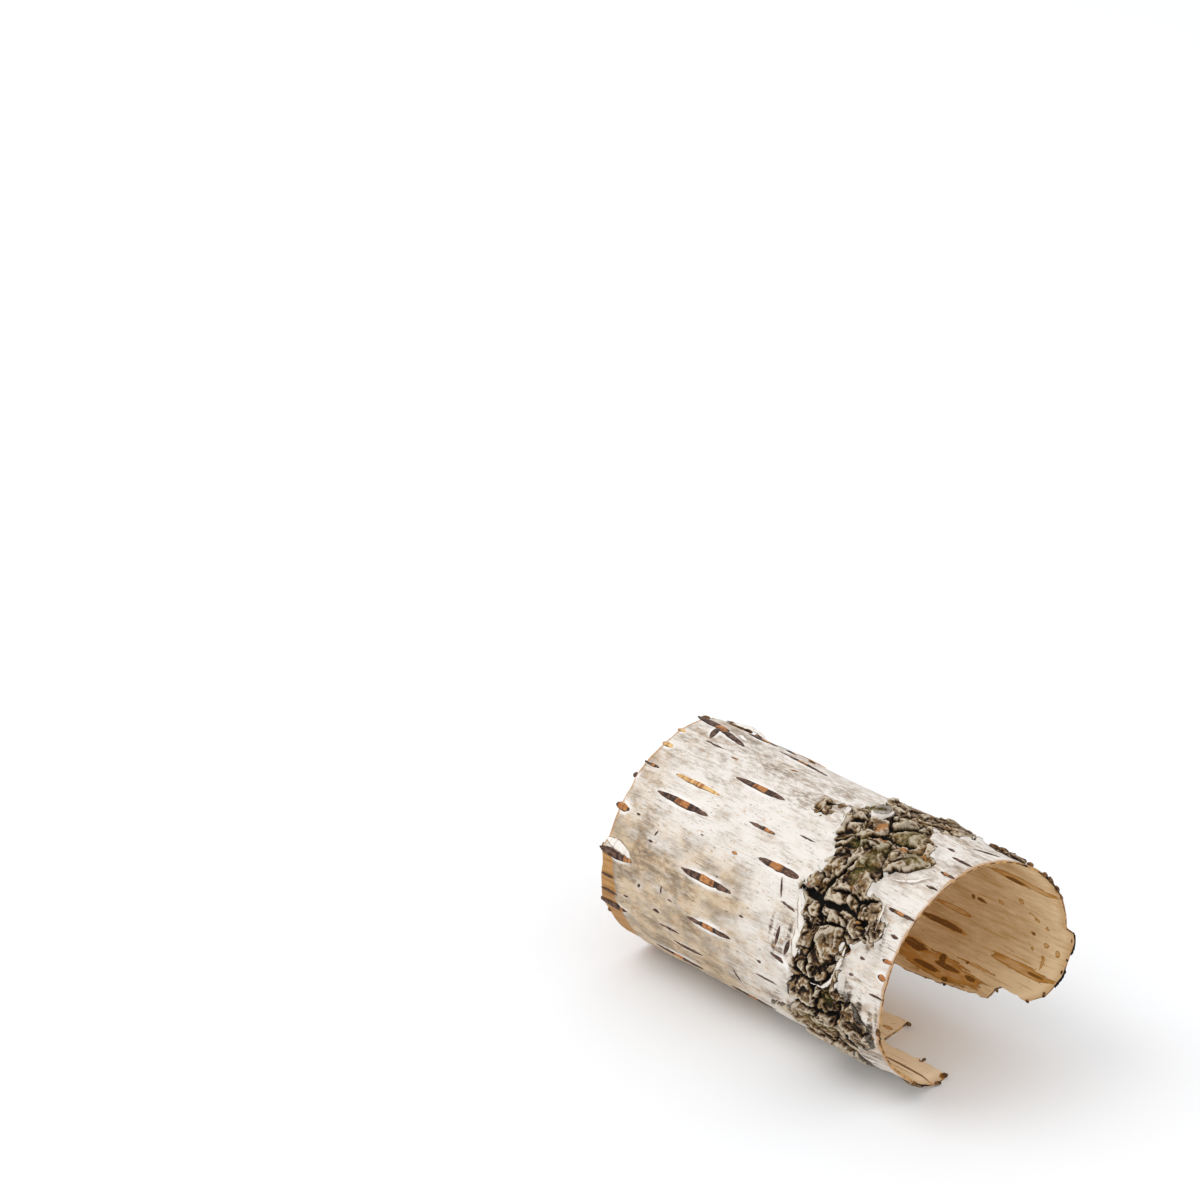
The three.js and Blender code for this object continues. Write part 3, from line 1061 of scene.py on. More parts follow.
@dataclass
class BarkSheet(BarkPiece):
    """The curled sheet: its white face, its tan inner face and its torn rims."""

    name: str = "bark_sheet"
    seen_from: float = -2.0
    columns_behind: int = 60
    columns_ahead: int = 90
    rows: int = 322
    rim_thickness: float = 0.36
    peel_depth: float = 0.2
    shore_lift: float = 0.3
    bed_share: float = 1.7
    grain_depth: float = 0.025
    wave_depth: float = 0.05
    inner_depth: float = 0.02
    halo_reach: float = 2.2

    PEEL_SIDE: ClassVar[Line] = [
        (166, -30.0), (169, -26.4), (172, -25.9), (180, -25.6), (187, -25.2), (193, -26.0), (197, -24.6),
        (203, -24.9), (210, -24.4), (236, -25.0), (252, -27.0), (258, -30.0),
    ]
    GOLD_SCARS: ClassVar[list[tuple[float, ...]]] = [
        (17.5, 31.6, 25.6, 1.9), (7.6, 14.6, -11.3, 0.9), (19.0, 31.2, -24.6, 1.5), (3.5, 20.0, -41.8, 3.6),
        (19.2, 20.1, 4.0, 0.8), (23.0, 24.1, 10.5, 0.9), (24.8, 25.8, 5.5, 0.6), (26.1, 27.0, 3.9, 0.8),
        (28.0, 28.8, 1.6, 0.8), (27.9, 28.9, -7.8, 1.0), (30.1, 30.9, -9.6, 1.2), (25.7, 26.4, -12.5, 0.7),
        (28.0, 28.5, -16.5, 3.4), (13.5, 22.5, -33.6, 0.42), (11.9, 13.8, 271.6, 0.8),
        (19.0, 26.0, 241.5, 0.6),
    ]
    DARK_SCARS: ClassVar[list[tuple[float, ...]]] = [
        (21.0, 25.5, 24.0, 1.1), (5.2, 14.0, -21.2, 0.95), (26.0, 29.5, -24.8, 0.5), (4.4, 9.2, -37.3, 1.5),
        (7.4, 12.4, -44.4, 1.0), (11.0, 15.4, -40.6, 0.9), (11.3, 12.6, -37.6, 1.3),
        (16.8, 18.7, -40.7, 0.7), (13.4, 14.6, -46.6, 0.9), (13.9, 14.7, -0.6, 0.6),
        (15.0, 16.8, -0.3, 0.6), (25.5, 26.2, -4.5, 0.6), (15.8, 16.5, -34.1, 0.6),
        (17.5, 27.0, 248.0, 0.7), (13.9, 15.3, 282.6, 1.3), (26.2, 27.8, 260.4, 1.5),
        (21.8, 22.6, 261.4, 0.9),
    ]
    SCATTERED_SCARS: ClassVar[int] = 26
    SCATTERED_FROM: ClassVar[Pair] = (-26.0, 44.0)
    SCATTERED_ANGLE: ClassVar[Pair] = (32.0, 236.0)
    SCATTERED_LENGTH: ClassVar[Pair] = (4.0, 8.0)
    SCATTERED_WIDTH: ClassVar[Pair] = (0.7, 0.9)
    DARK_SHARE: ClassVar[float] = 0.4
    SMUDGES: ClassVar[list[tuple[float, float, float, float, float]]] = [
        (-20.8, 162.5, 5, 5, 1.0), (-21.5, 152, 6, 5, 0.6), (-21, 141, 7, 4, 0.5),
        (-22.4, 173.5, 5, 4.5, 0.8), (-15, 169, 11, 5, 0.55), (-10.3, 168.5, 4, 5, 0.7),
        (-10, 185, 5, 5, 0.55), (-20, 195.5, 7, 4, 0.5), (-15.5, 160, 12, 6, 0.35), (-20.5, 68, 14, 8, 0.5),
        (-17, 111.5, 14, 3, 0.35), (-1.5, 101, 6, 5, 0.7), (-10, 90, 9, 4, 0.5), (0.5, 82, 9, 5, 0.5),
        (-24, 128, 6, 2.5, 0.4), (-12, 207, 16, 4, 0.5), (-3, 198, 12, 6, 0.3), (6.0, 205, 6, 3.5, 0.8),
        (6.9, 199.3, 2.6, 2.4, 0.9), (9.3, 201, 2.2, 2.6, 0.9), (8.9, 182.7, 2.0, 3.6, 0.8),
        (7.4, 165.5, 4.5, 6.0, 0.8), (21.4, 180.0, 1.3, 6.0, 2.8), (23.3, 184.5, 1.2, 7.0, 2.8),
        (25.2, 188.5, 1.2, 6.0, 2.6), (26.3, 183.0, 0.8, 5.0, 1.6), (20.6, 172.0, 1.2, 3.0, 1.4),
        (22.4, 168.5, 3.0, 0.9, 1.0), (6.6, 170.0, 1.0, 6.0, 2.4), (5.4, 163.0, 0.8, 5.0, 2.0),
        (9.0, 167.0, 1.2, 8.0, 2.6), (7.8, 172.5, 1.0, 4.0, 2.2), (22.8, 150.0, 1.0, 4.0, 1.6),
        (24.6, 146.0, 0.8, 4.0, 1.4), (25.8, 134.0, 2.4, 1.2, 1.0), (21.0, 211.0, 13.0, 1.3, 1.6),
        (20.0, 216.0, 13.0, 1.1, 1.8), (24.0, 206.5, 6.0, 1.1, 1.5), (19.0, 221.5, 12.0, 1.1, 1.7),
        (5.2, 145, 1.4, 3.4, 0.6), (23.5, 125, 4, 3, 0.35), (-24.2, 163.5, 2.6, 1.6, 1.2),
        (23.4, 176, 6, 6, 0.4), (24.6, 195, 5, 5, 0.5), (-24.5, 176, 1.6, 4.0, 0.9),
        (25.5, 141, 3.0, 2.0, 0.5),
    ]

    def finish(self) -> Finish:
        """White outside, tan inside."""
        return SheetFinish()

    def flat_mesh(self) -> bpy.types.Mesh:
        """The two faces as grids on the torn outline, joined by the rim."""
        jag, grain = Grain(Seed.TEAR), Grain(Seed.SHEET)
        column, even = self.columns(), np.linspace(ROLL.far, ROLL.near, self.rows + 1)
        x, angle = ROLL.tear(*np.meshgrid(column, even, indexing="ij"), jag)
        y = ROLL.y_at(angle)
        heights = self.outer_height(x, y, grain), self.inner_height(column, x, y, grain)
        outer, inner = [np.stack([x, y, height], -1).reshape(-1, 3) for height in heights]
        places = np.concatenate([outer, inner])
        side = np.repeat([0.0, 1.0], len(outer))
        fields = dict(self.markings(places[:, 0], places[:, 1]), side=side)
        return self.mesh_of(places, self.faces(x.shape), fields)

    def columns(self) -> Array:
        """Places along the untorn sheet, closer together towards the front where both faces are seen."""
        behind = np.linspace(ROLL.back, self.seen_from, self.columns_behind, endpoint=False)
        return np.concatenate([behind, np.linspace(self.seen_from, ROLL.front, self.columns_ahead)])

    def outer_height(self, x: Array, y: Array, grain: Grain) -> Array:
        """The white face's own relief: fine grain, the peeled strip and the lift beside the cork.

        Args:
            x: Places along the roll, mm.
            y: Places round the roll, mm.
            grain: The sheet's noise.

        Returns:
            Heights, mm.
        """
        height = self.grain_depth * grain.at(x, y, (6.0, 0.7), 3)
        height += self.wave_depth * grain.at(x, y + 90.0, (7.0, 4.0), 2)
        inside = BAND.inside(x, y)
        bed = self.bed_share * self.shore_lift * ease(inside, 0.2, 0.7)
        height += self.shore_lift * ease(inside, -2.4, -0.1) - bed
        swell = np.zeros(x.shape)
        for pore in Pores.all_pores():
            u, v = pore.local(x, y)
            along_it, across_it = u / ((pore.x_to - pore.x_from) / 2 + 0.8), v / (pore.width + 0.3)
            swell = np.maximum(swell, pore.swell * np.exp(-(along_it**4) - across_it**2))
        height += swell
        peeled = self.peel(x, y) + 0.2 * grain.at(x, y, (0.8, 0.8), 2)
        return height - self.peel_depth * ease(peeled, 0.0, 0.25)

    def inner_height(self, column: Array, x: Array, y: Array, grain: Grain) -> Array:
        """The inner face, which comes closer to the white face at the torn rims.

        Args:
            column: Places along the untorn sheet, mm.
            x: Places along the roll, mm.
            y: Places round the roll, mm.
            grain: The sheet's noise.

        Returns:
            Heights, mm.
        """
        to_end = np.minimum(column - ROLL.back, ROLL.front - column)[:, None]
        thickness = self.rim_thickness + (ROLL.thickness - self.rim_thickness) * ease(to_end, 0.0, 2.5)
        return -thickness + self.inner_depth * grain.at(x, y, (9.0, 0.8), 3)

    def peel(self, x: Array, y: Array) -> Array:
        """How far places lie inside the strip at the back end where the white layer is torn off, mm."""
        return np.clip(along(self.PEEL_SIDE, ROLL.angle_at(y)) - x, -1.0, 1.0)

    def markings(self, x: Array, y: Array) -> dict[str, Array]:
        """The fields that the finish paints by: stains and a greyer top and far side, scars, pore rims,
        painted light on the inner face and peeled strip.

        Args:
            x: Places along the roll, mm.
            y: Places round the roll, mm.

        Returns:
            One value for each place, by the field's name.
        """
        smudge, angle = np.zeros(len(x)), ROLL.angle_at(y)
        for place, turn, length, width, strength in self.SMUDGES:
            stain = oval(x, y, (place, float(ROLL.y_at(turn))), (length, width))
            smudge += strength * np.clip(stain, 0.0, 1.0)
        beige = 0.15 + 0.75 * ease(angle, 128.0, 168.0) * (1.0 - 0.65 * ease(x, -7.0, 3.0))
        beige += 0.25 * ease(-x, 18.0, 28.0) + 0.3 * (1.0 - ease(angle, 20.0, 60.0))
        # The white face is made greyer from angle 124 over the top line and down the far side.
        smudge += 0.44 * (1.0 - ease(angle, 92.0, 124.0))
        fields = {tone.value: np.full(len(x), -1.0) for tone in ScarTone}
        for scar in self.scars():
            size = (scar.x_to - scar.x_from, scar.width)
            middle = ((scar.x_from + scar.x_to) / 2, ROLL.y_at(scar.angle))
            fields[scar.tone.value] = np.maximum(fields[scar.tone.value], oval(x, y, middle, size))
        to_end = np.minimum(x - along(ROLL.BACK_END, angle), along(ROLL.FRONT_END, angle) - x)
        halo = np.zeros(len(x))
        for pore in Pores.all_pores():
            size = (pore.x_to - pore.x_from + self.halo_reach, pore.width + self.halo_reach)
            around = np.clip(oval(*pore.local(x, y), (0.0, 0.0), size), 0.0, 1.0)
            halo = np.maximum(halo, min(pore.width, 1.0) * around)
        smudge, beige = smudge * (1.0 - 0.8 * halo), beige * (1.0 - 0.8 * halo)
        # Painted light on the inner face: its lower far wall, its near tongue and the far side of its front
        # end.
        painted_light = 0.16 * (1.0 - ease(angle, -36.0, -14.0)) + 0.6 * ease(angle, 222.0, 246.0)
        painted_light += 0.22 * ease(x, 20.0, 30.0) * (1.0 - ease(angle, 20.0, 60.0))
        fields |= {"smudge": smudge, "beige": beige, "painted_light": painted_light, "halo": halo}
        return dict(fields, to_end=np.clip(to_end, -1.0, 2.0), peel=self.peel(x, y))

    def scars(self) -> list[Scar]:
        """Lists the measured scars, and scatters others where the measured lists leave the inner face bare.

        Returns:
            All scars of the inner face.
        """
        made = [Scar(*row, ScarTone.GOLD) for row in self.GOLD_SCARS]
        made += [Scar(*row, ScarTone.DARK) for row in self.DARK_SCARS]
        draws = Draws(Seed.SCARS)
        for i in range(self.SCATTERED_SCARS):
            start = self.SCATTERED_FROM[0] + self.SCATTERED_FROM[1] * draws.next()
            share = (i + draws.next()) / self.SCATTERED_SCARS
            angle = self.SCATTERED_ANGLE[0] + self.SCATTERED_ANGLE[1] * share
            tone = ScarTone.DARK if draws.next() < self.DARK_SHARE else ScarTone.GOLD
            stop = start + self.SCATTERED_LENGTH[0] + self.SCATTERED_LENGTH[1] * draws.next()
            width = self.SCATTERED_WIDTH[0] + self.SCATTERED_WIDTH[1] * draws.next()
            made.append(Scar(start, stop, angle, width, tone))
        return made

    def faces(self, shape: tuple[int, int]) -> list[tuple[int, ...]]:
        """The corner numbers of the two grids and of the rim that joins them.

        Args:
            shape: How many places a grid has along and round the roll.

        Returns:
            Four corner numbers for each face.
        """
        outer = np.arange(shape[0] * shape[1]).reshape(shape)
        quads = np.stack([outer[:-1, :-1], outer[:-1, 1:], outer[1:, 1:], outer[1:, :-1]], -1).reshape(-1, 4)
        rim = np.array(self.border(outer))
        after = np.roll(rim, -1)
        sides = np.stack([rim, after, after + outer.size, rim + outer.size], -1)
        return np.concatenate([quads, quads[:, ::-1] + outer.size, sides]).tolist()

    @staticmethod
    def border(grid: Array) -> list[int]:
        """The numbers once round the border of a grid."""
        sides = [grid[:-1, 0], grid[-1, :-1], grid[:0:-1, -1], grid[0, :0:-1]]
        return np.concatenate(sides).tolist()


@dataclass(frozen=True)
class Crack:
    """A deep crack of the corky band: its points as (x, angle) and its width, mm."""

    points: tuple[Pair, ...]
    width: float


class CorkGround:
    """The places that the cork covers, and the plate that each of them belongs to."""

    WARP: ClassVar[float] = 0.8
    WARP_SIZE: ClassVar[Pair] = (2.6, 2.6)
    STRIPS_FROM: ClassVar[float] = 197.0
    STRIP_STRETCH: ClassVar[float] = 0.15
    STRIP_LEAN: ClassVar[float] = 0.12
    CRACK_WARP: ClassVar[float] = 0.6
    CHUNK: ClassVar[int] = 2000

    def __init__(self, x: Array, y: Array) -> None:
        """Finds each place's plate, its distance to the plate's edge and its place along the grain.

        Args:
            x: Places along the roll, mm.
            y: Places round the roll, mm.
        """
        warp = Grain(Seed.WARP)
        self.x, self.y, self.angle = x, y, ROLL.angle_at(y)
        self.bent_x = x + self.WARP * warp.at(x, y, self.WARP_SIZE, 4)
        self.bent_y = y + self.WARP * warp.at(x + 300.0, y, self.WARP_SIZE, 4)
        self.in_band = BAND.inside(x, y)
        self.in_lump, self.lump = BAND.on_lumps(x, y)
        self.inside = np.maximum(self.in_band, self.in_lump)
        self.lumpy = self.in_lump > self.in_band
        self.strips = self.angle > self.STRIPS_FROM
        self.plates = BAND.plates(Draws(Seed.CAD))
        self.cell, self.edge = self.cells(self.bent_x, self.bent_y, self.plates[:, :2])
        self.away = np.stack([self.bent_x, self.bent_y], -1) - self.plates[self.cell, :2]
        lean = self.drawn(0.0, math.tau, Seed.LEAN)
        along_grain = self.away[:, 0] * np.cos(lean) + self.away[:, 1] * np.sin(lean)
        across_grain = self.away[:, 1] * np.cos(lean) - self.away[:, 0] * np.sin(lean)
        across_grain = across_grain + 9.0 * (self.cell % 5)
        self.grain_u = np.where(self.strips, self.STRIP_STRETCH * self.bent_x, along_grain)
        self.grain_v = np.where(self.strips, self.bent_y - self.STRIP_LEAN * self.x, across_grain)

    def drawn(self, low: float, high: float, seed: Seed) -> Array:
        """One seeded number for each plate, laid out on the places."""
        return np.random.default_rng(seed).uniform(low, high, len(self.plates))[self.cell]

    def spots(self, places: Ovals) -> Array:
        """How far places lie inside any of several ovals.

        Args:
            places: The ovals, as x, angle, length and width.

        Returns:
            One value from 0 to 1 for each place.
        """
        made = np.zeros(len(self.x))
        for place, angle, length, width in places:
            middle = (place, float(ROLL.y_at(angle)))
            made = np.maximum(made, oval(self.bent_x, self.bent_y, middle, (length, width)))
        return made

    @staticmethod
    def cells(x: Array, y: Array, middles: Array) -> tuple[Array, Array]:
        """Finds the plate that each place belongs to.

        Args:
            x: Places along the roll, mm.
            y: Places round the roll, mm.
            middles: The plates' middles, mm.

        Returns:
            The nearest middle's number, and the distance in mm to the line that parts it from the next.
        """
        nearest, edge = np.zeros(len(x), int), np.zeros(len(x))
        for part in np.array_split(np.arange(len(x)), len(x) // CorkGround.CHUNK + 1):
            square = (x[part][:, None] - middles[:, 0]) ** 2 + (y[part][:, None] - middles[:, 1]) ** 2
            pair = np.argpartition(square, 1, axis=1)[:, :2]
            away = np.take_along_axis(square, pair, 1)
            apart = np.linalg.norm(middles[pair[:, 0]] - middles[pair[:, 1]], axis=1)
            nearest[part] = np.where(away[:, 0] <= away[:, 1], pair[:, 0], pair[:, 1])
            edge[part] = np.abs(away[:, 1] - away[:, 0]) / (2.0 * apart)
        return nearest, edge

    def to_line(self, crack: Crack) -> Array:
        """Measures from the places to a crack's line.

        Args:
            crack: The crack.

        Returns:
            Distances, mm.
        """
        bent, plain = self.CRACK_WARP, 1.0 - self.CRACK_WARP
        x, y = bent * self.bent_x + plain * self.x, bent * self.bent_y + plain * self.y
        points = np.array([(px, float(ROLL.y_at(angle))) for px, angle in crack.points])
        nearest = np.full(x.shape, 1e9)
        for start, stop in zip(points[:-1], points[1:]):
            way = stop - start
            share = ((x - start[0]) * way[0] + (y - start[1]) * way[1]) / (way @ way)
            share = np.clip(share, 0.0, 1.0)
            away = np.hypot(x - start[0] - share * way[0], y - start[1] - share * way[1])
            nearest = np.minimum(nearest, away)
        return nearest


@dataclass(frozen=True)
class CavityShade:
    """A size of painted cavity shade on the cork: its reach in grid cells, its depth in mm and its share."""

    reach: int
    depth: float
    share: float


@dataclass
class CorkBand(BarkPiece):
    """The raised corky band: plates parted by cracks, with layered and gritty tops."""

    name: str = "cork_band"
    sharp: float = 42.0
    step: float = 0.15
    reach: float = 0.7
    root: float = -0.3
    crack_depth: float = 0.92
    bowl_height: float = 0.7
    facet_depth: float = 0.11
    grit_depth: float = 0.04

    ALONG: ClassVar[Pair] = (-0.6, 33.2)
    ROUND: ClassVar[Pair] = (244.0, -26.0)
    LUMPS: ClassVar[tuple[float, ...]] = (2.9, 1.9)
    CHIPS: ClassVar[tuple[float, ...]] = (1.1, 0.75)
    FLAKE_SINK: ClassVar[float] = 0.1
    FLAKE_STEP: ClassVar[float] = 0.13
    FLAKE_TILT: ClassVar[float] = 0.4
    CAVITY_SHADES: ClassVar[list[CavityShade]] = [CavityShade(2, 0.13, 0.42), CavityShade(8, 0.4, 0.5)]
    CRACKS: ClassVar[list[Crack]] = [
        Crack(((8.6, 139.5), (11.0, 140.8), (14.0, 141.5), (19.4, 141.0), (21.5, 142.5)), 0.95),
        Crack(((12.8, 103.0), (14.0, 101.7), (17.0, 101.0), (19.6, 100.0)), 1.0),
        Crack(((8.6, 114.3), (9.6, 111.5), (11.1, 107.0)), 0.8),
        Crack(((8.7, 99.8), (10.2, 97.2)), 0.9),
        Crack(((13.9, 118.0), (13.9, 127.0), (13.0, 133.0), (12.5, 140.5)), 0.75),
        Crack(((10.5, 176.0), (15.0, 176.5)), 0.8),
        Crack(((13.0, 141.5), (14.0, 155.0), (13.2, 168.0), (14.5, 176.5)), 0.5),
        Crack(((14.8, 176.5), (15.4, 186.0), (15.0, 193.0)), 0.95),
        Crack(((11.0, 193.5), (15.2, 192.0), (20.0, 189.5)), 0.75),
        Crack(((19.3, 189.5), (20.4, 198.0), (20.0, 207.0), (22.5, 209.0)), 0.9),
    ]
    TORN: ClassVar[Ovals] = [
        (12.7, 96.0, 2.0, 3.6), (14.6, 103.6, 3.2, 1.2), (19.0, 103.4, 3.4, 1.0), (9.2, 137.2, 1.3, 1.1),
        (20.4, 141.7, 1.2, 0.9), (22.1, 102.0, 3.6, 0.5), (19.4, 158.0, 0.6, 1.8), (19.6, 163.5, 0.7, 1.2),
        (21.0, 191.0, 1.6, 1.2), (16.5, 130.4, 1.8, 0.6), (3.2, 95.0, 1.4, 0.8), (26.6, 190.0, 1.0, 1.4),
    ]
    MOSSY: ClassVar[Ovals] = [
        (15.8, 114.0, 3.0, 8.0), (17.5, 94.0, 8.0, 5.0), (22.0, 106.0, 4.5, 4.0), (16.5, 124.0, 2.4, 5.0),
        (12.0, 110.0, 4.0, 3.0), (17.5, 182.0, 3.0, 3.0), (8.0, 84.0, 5.0, 3.5), (15.0, 203.0, 9.0, 3.0),
    ]
    PALE: ClassVar[Ovals] = [
        (16.0, 88.5, 4.5, 3.5), (20.2, 95.5, 4.5, 3.0), (7.8, 103.0, 3.4, 3.6), (17.0, 150.0, 4.0, 3.0),
        (16.5, 163.0, 3.6, 4.0), (17.0, 134.0, 5.0, 2.4), (11.0, 124.0, 3.0, 3.0),
    ]
    BOWLS: ClassVar[Ovals] = [(9.9, 86.6, 3.0, 3.8)]
    BARE: ClassVar[Ovals] = [(22.4, 112.0, 7.0, 9.0)]
    BEADS: ClassVar[Ovals] = [
        (13.5, 127.6, 0.9, 0.9), (9.2, 137.2, 1.2, 1.1), (20.4, 141.7, 1.1, 0.9),
    ]

    def finish(self) -> Finish:
        """Grey cork."""
        return CorkFinish()

    def flat_mesh(self) -> bpy.types.Mesh:
        """A closed height field over the band and the lumps, its underside sunk in the sheet."""
        first, last = [float(ROLL.y_at(angle)) for angle in self.ROUND]
        lines = np.arange(*self.ALONG, self.step), np.arange(first, last, self.step)
        x, y = np.meshgrid(*lines, indexing="ij")
        kept = np.maximum(BAND.outline(x, y), BAND.on_lumps(x, y)[0]) > -self.reach
        cells = kept[:-1, :-1] & kept[1:, :-1] & kept[1:, 1:] & kept[:-1, 1:]
        number = np.arange(x.size).reshape(x.shape)
        quads = np.stack([number[:-1, :-1], number[1:, :-1], number[1:, 1:], number[:-1, 1:]], -1)[cells]
        walls = self.open_edges(quads)
        top, fields = self.relief(x, y, kept)
        sides = np.stack([walls[:, 1], walls[:, 0], walls[:, 0] + x.size, walls[:, 1] + x.size], -1)
        faces = np.concatenate([quads, quads[:, ::-1] + x.size, sides])
        used, packed = np.unique(faces, return_inverse=True)
        upper = np.stack([x, y, top], -1).reshape(-1, 3)
        lower = np.stack([x, y, np.full(x.shape, self.root)], -1).reshape(-1, 3)
        places = np.concatenate([upper, lower])[used]
        twice = {name: np.concatenate([v.ravel(), v.ravel()])[used] for name, v in fields.items()}
        return self.mesh_of(places, packed.reshape(faces.shape).tolist(), twice)

    @staticmethod
    def open_edges(quads: Array) -> Array:
        """The edges that only one face has, in that face's direction.

        Args:
            quads: Four corner numbers for each face.

        Returns:
            Two corner numbers for each edge.
        """
        edges = np.concatenate([quads[:, [i, (i + 1) % 4]] for i in range(4)])
        keys = np.sort(edges, 1) @ np.array([1 << 32, 1])
        _, first, count = np.unique(keys, return_index=True, return_counts=True)
        return edges[first[count == 1]]

    def relief(self, grid_x: Array, grid_y: Array, kept: Array) -> tuple[Array, dict[str, Array]]:
        """The height of the cork and the fields that its finish paints by.

        Args:
            grid_x: Places along the roll, mm.
            grid_y: Places round the roll, mm.
            kept: Which places the cork covers.

        Returns:
            Heights above the white face in mm, and the fields by name, all on the grid.
        """
        ground = CorkGround(grid_x[kept], grid_y[kept])
        height, tone = self.plate_tops(ground)
        crack, film = self.cracked(ground), self.filmed(ground)
        height = height * (1.0 - self.crack_depth * crack)
        bowl = ease(ground.spots(self.BOWLS), 0.1, 0.4)
        height = height * (1.0 - bowl) + self.bowl_height * bowl
        film = np.maximum(film, 0.5 * bowl)
        crack = crack * (1.0 - bowl)
        bead = np.sqrt(np.maximum(ground.spots(self.BEADS), 0.0))
        height = np.maximum(height, (0.5 + 0.5 * bead) * (bead > 0.0))
        height = height * (1.0 - 0.3 * film) + 0.15 * film * (1.0 - crack)
        height = self.root + (height - self.root) * ease(ground.inside, -self.reach, 0.2)
        # The border is a painted shadow line round the cork where it meets the white sheet, carried in the
        # crack field.
        border = 0.7 * (1.0 - ease(ground.inside, -0.3, 0.2)) * (1.0 - film)
        fields = {
            "crack": np.maximum(crack, border) * (1.0 - 0.3 * film) * (bead == 0.0),
            "film": film,
            "tone": tone - 0.25 * ground.lumpy + 0.2 * ease(ground.spots(self.PALE), 0.0, 0.6),
            "torn": ground.spots(self.TORN),
            "moss": ground.spots(self.MOSSY),
            "grain_u": ground.grain_u,
            "grain_v": ground.grain_v,
        }
        grids = {name: self.on_grid(values, kept) for name, values in fields.items()}
        top = self.on_grid(height, kept)
        # Painted shade and painted highlight: places below the blurred relief are painted darker and places
        # above it paler, at two sizes.
        grids["tone"] += sum(
            cavity_shade.share * np.clip((top - self.blurred(top, cavity_shade.reach)) / cavity_shade.depth, -1.0, 1.0)
            for cavity_shade in self.CAVITY_SHADES
        )
        return top, grids

    def plate_tops(self, ground: CorkGround) -> tuple[Array, Array]:
        """Shapes the plates' crumpled tops.

        Args:
            ground: The places that the cork covers.

        Returns:
            Heights in mm, and how pale the places are.
        """
        grit, creases = Grain(Seed.GRIT), Grain(Seed.CREASE)
        thickness = ground.plates[ground.cell, 2] * (0.4 + 0.6 * ease(ground.angle, 76.0, 98.0))
        thickness = thickness * (1.0 - 0.4 * ease(ground.angle, 196.0, 206.0))
        thickness = np.where(ground.lumpy, ground.lump, thickness)
        lump_dome, plate_dome = ease(ground.in_lump, 0.0, 1.1), ease(ground.edge, 0.0, 1.3)
        dome = np.where(ground.lumpy, 0.45 + 0.55 * lump_dome, 0.7 + 0.3 * plate_dome)
        slope = np.stack([ground.drawn(-0.1, 0.1, seed) for seed in (Seed.SLOPE_X, Seed.SLOPE_Y)], -1)
        height = thickness * dome + (ground.away * slope).sum(-1) * ~ground.lumpy
        u = ground.grain_u + 0.3 * grit.at(ground.x, ground.y, (1.1, 1.1), 2)
        v = ground.grain_v + 0.3 * grit.at(ground.x, ground.y + 80.0, (1.1, 1.1), 2)
        lumps, pale = self.flaked(u * 0.7, v, self.LUMPS)
        chips, chip_pale = self.flaked(u * 0.7, v, self.CHIPS)
        height = height + (lumps + 0.6 * chips) * np.minimum(thickness, 0.9)
        facets = creases.creased(ground.x + u, ground.y + v, 1.0, 2)
        height = height + self.facet_depth * facets
        height = height + self.grit_depth * grit.at(ground.x, ground.y, (0.6, 0.6), 2)
        low = 0.16 * ease(ground.angle, 150.0, 172.0) * (1.0 - 2.6 * ease(ground.angle, 193.0, 200.0))
        tone = ground.drawn(-0.16, 0.16, Seed.TONE) + 0.12 * pale + 0.16 * chip_pale + 0.16 * facets - low
        return height, tone

    def flaked(self, u: Array, v: Array, sizes: tuple[float, ...]) -> tuple[Array, Array]:
        """Lays tilted flakes that lap over each other.

        Args:
            u: Places along the grain, mm.
            v: Places across the grain, mm.
            sizes: The flakes' sizes, one a layer, mm.

        Returns:
            Heights in mm, and how pale the flakes are, from -1 to 1.
        """
        top, pale = np.full(u.shape, -9.0), np.zeros(u.shape)
        for size in sizes:
            level, tone = self.flake_layer(u, v, size)
            pale = np.where(level > top, tone, pale)
            top = np.maximum(top, level)
        return top - self.FLAKE_SINK * sizes[0], pale

    def flake_layer(self, u: Array, v: Array, size: float) -> tuple[Array, Array]:
        """Lays one layer of tilted flakes round the middles of a jittered grid.

        Args:
            u: Places along the grain, mm.
            v: Places across the grain, mm.
            size: The flakes' size, mm.

        Returns:
            Heights in mm, and how pale the flakes are, from -1 to 1.
        """
        rng = np.random.default_rng(round(100 * size))
        place_u, place_v = (u - u.min()) / size + 1.0, (v - v.min()) / size + 1.0
        shape = int(place_u.max()) + 3, int(place_v.max()) + 3
        shake, draws = rng.uniform(0.02, 0.98, (*shape, 2)), rng.uniform(-1.0, 1.0, (*shape, 4))
        nearest, level, pale = np.full(u.shape, 9.0), np.zeros(u.shape), np.zeros(u.shape)
        for du, dv in itertools.product((-1, 0, 1), repeat=2):
            i, j = place_u.astype(int) + du, place_v.astype(int) + dv
            away_u, away_v = place_u - i - shake[i, j, 0], place_v - j - shake[i, j, 1]
            gap, drawn = np.hypot(away_u, away_v), draws[i, j]
            slope = away_u * drawn[:, 1] + away_v * drawn[:, 2]
            tilted = self.FLAKE_STEP * drawn[:, 0] + self.FLAKE_TILT * slope
            level = np.where(gap < nearest, size * tilted, level)
            pale = np.where(gap < nearest, drawn[:, 3], pale)
            nearest = np.minimum(nearest, gap)
        return level, pale

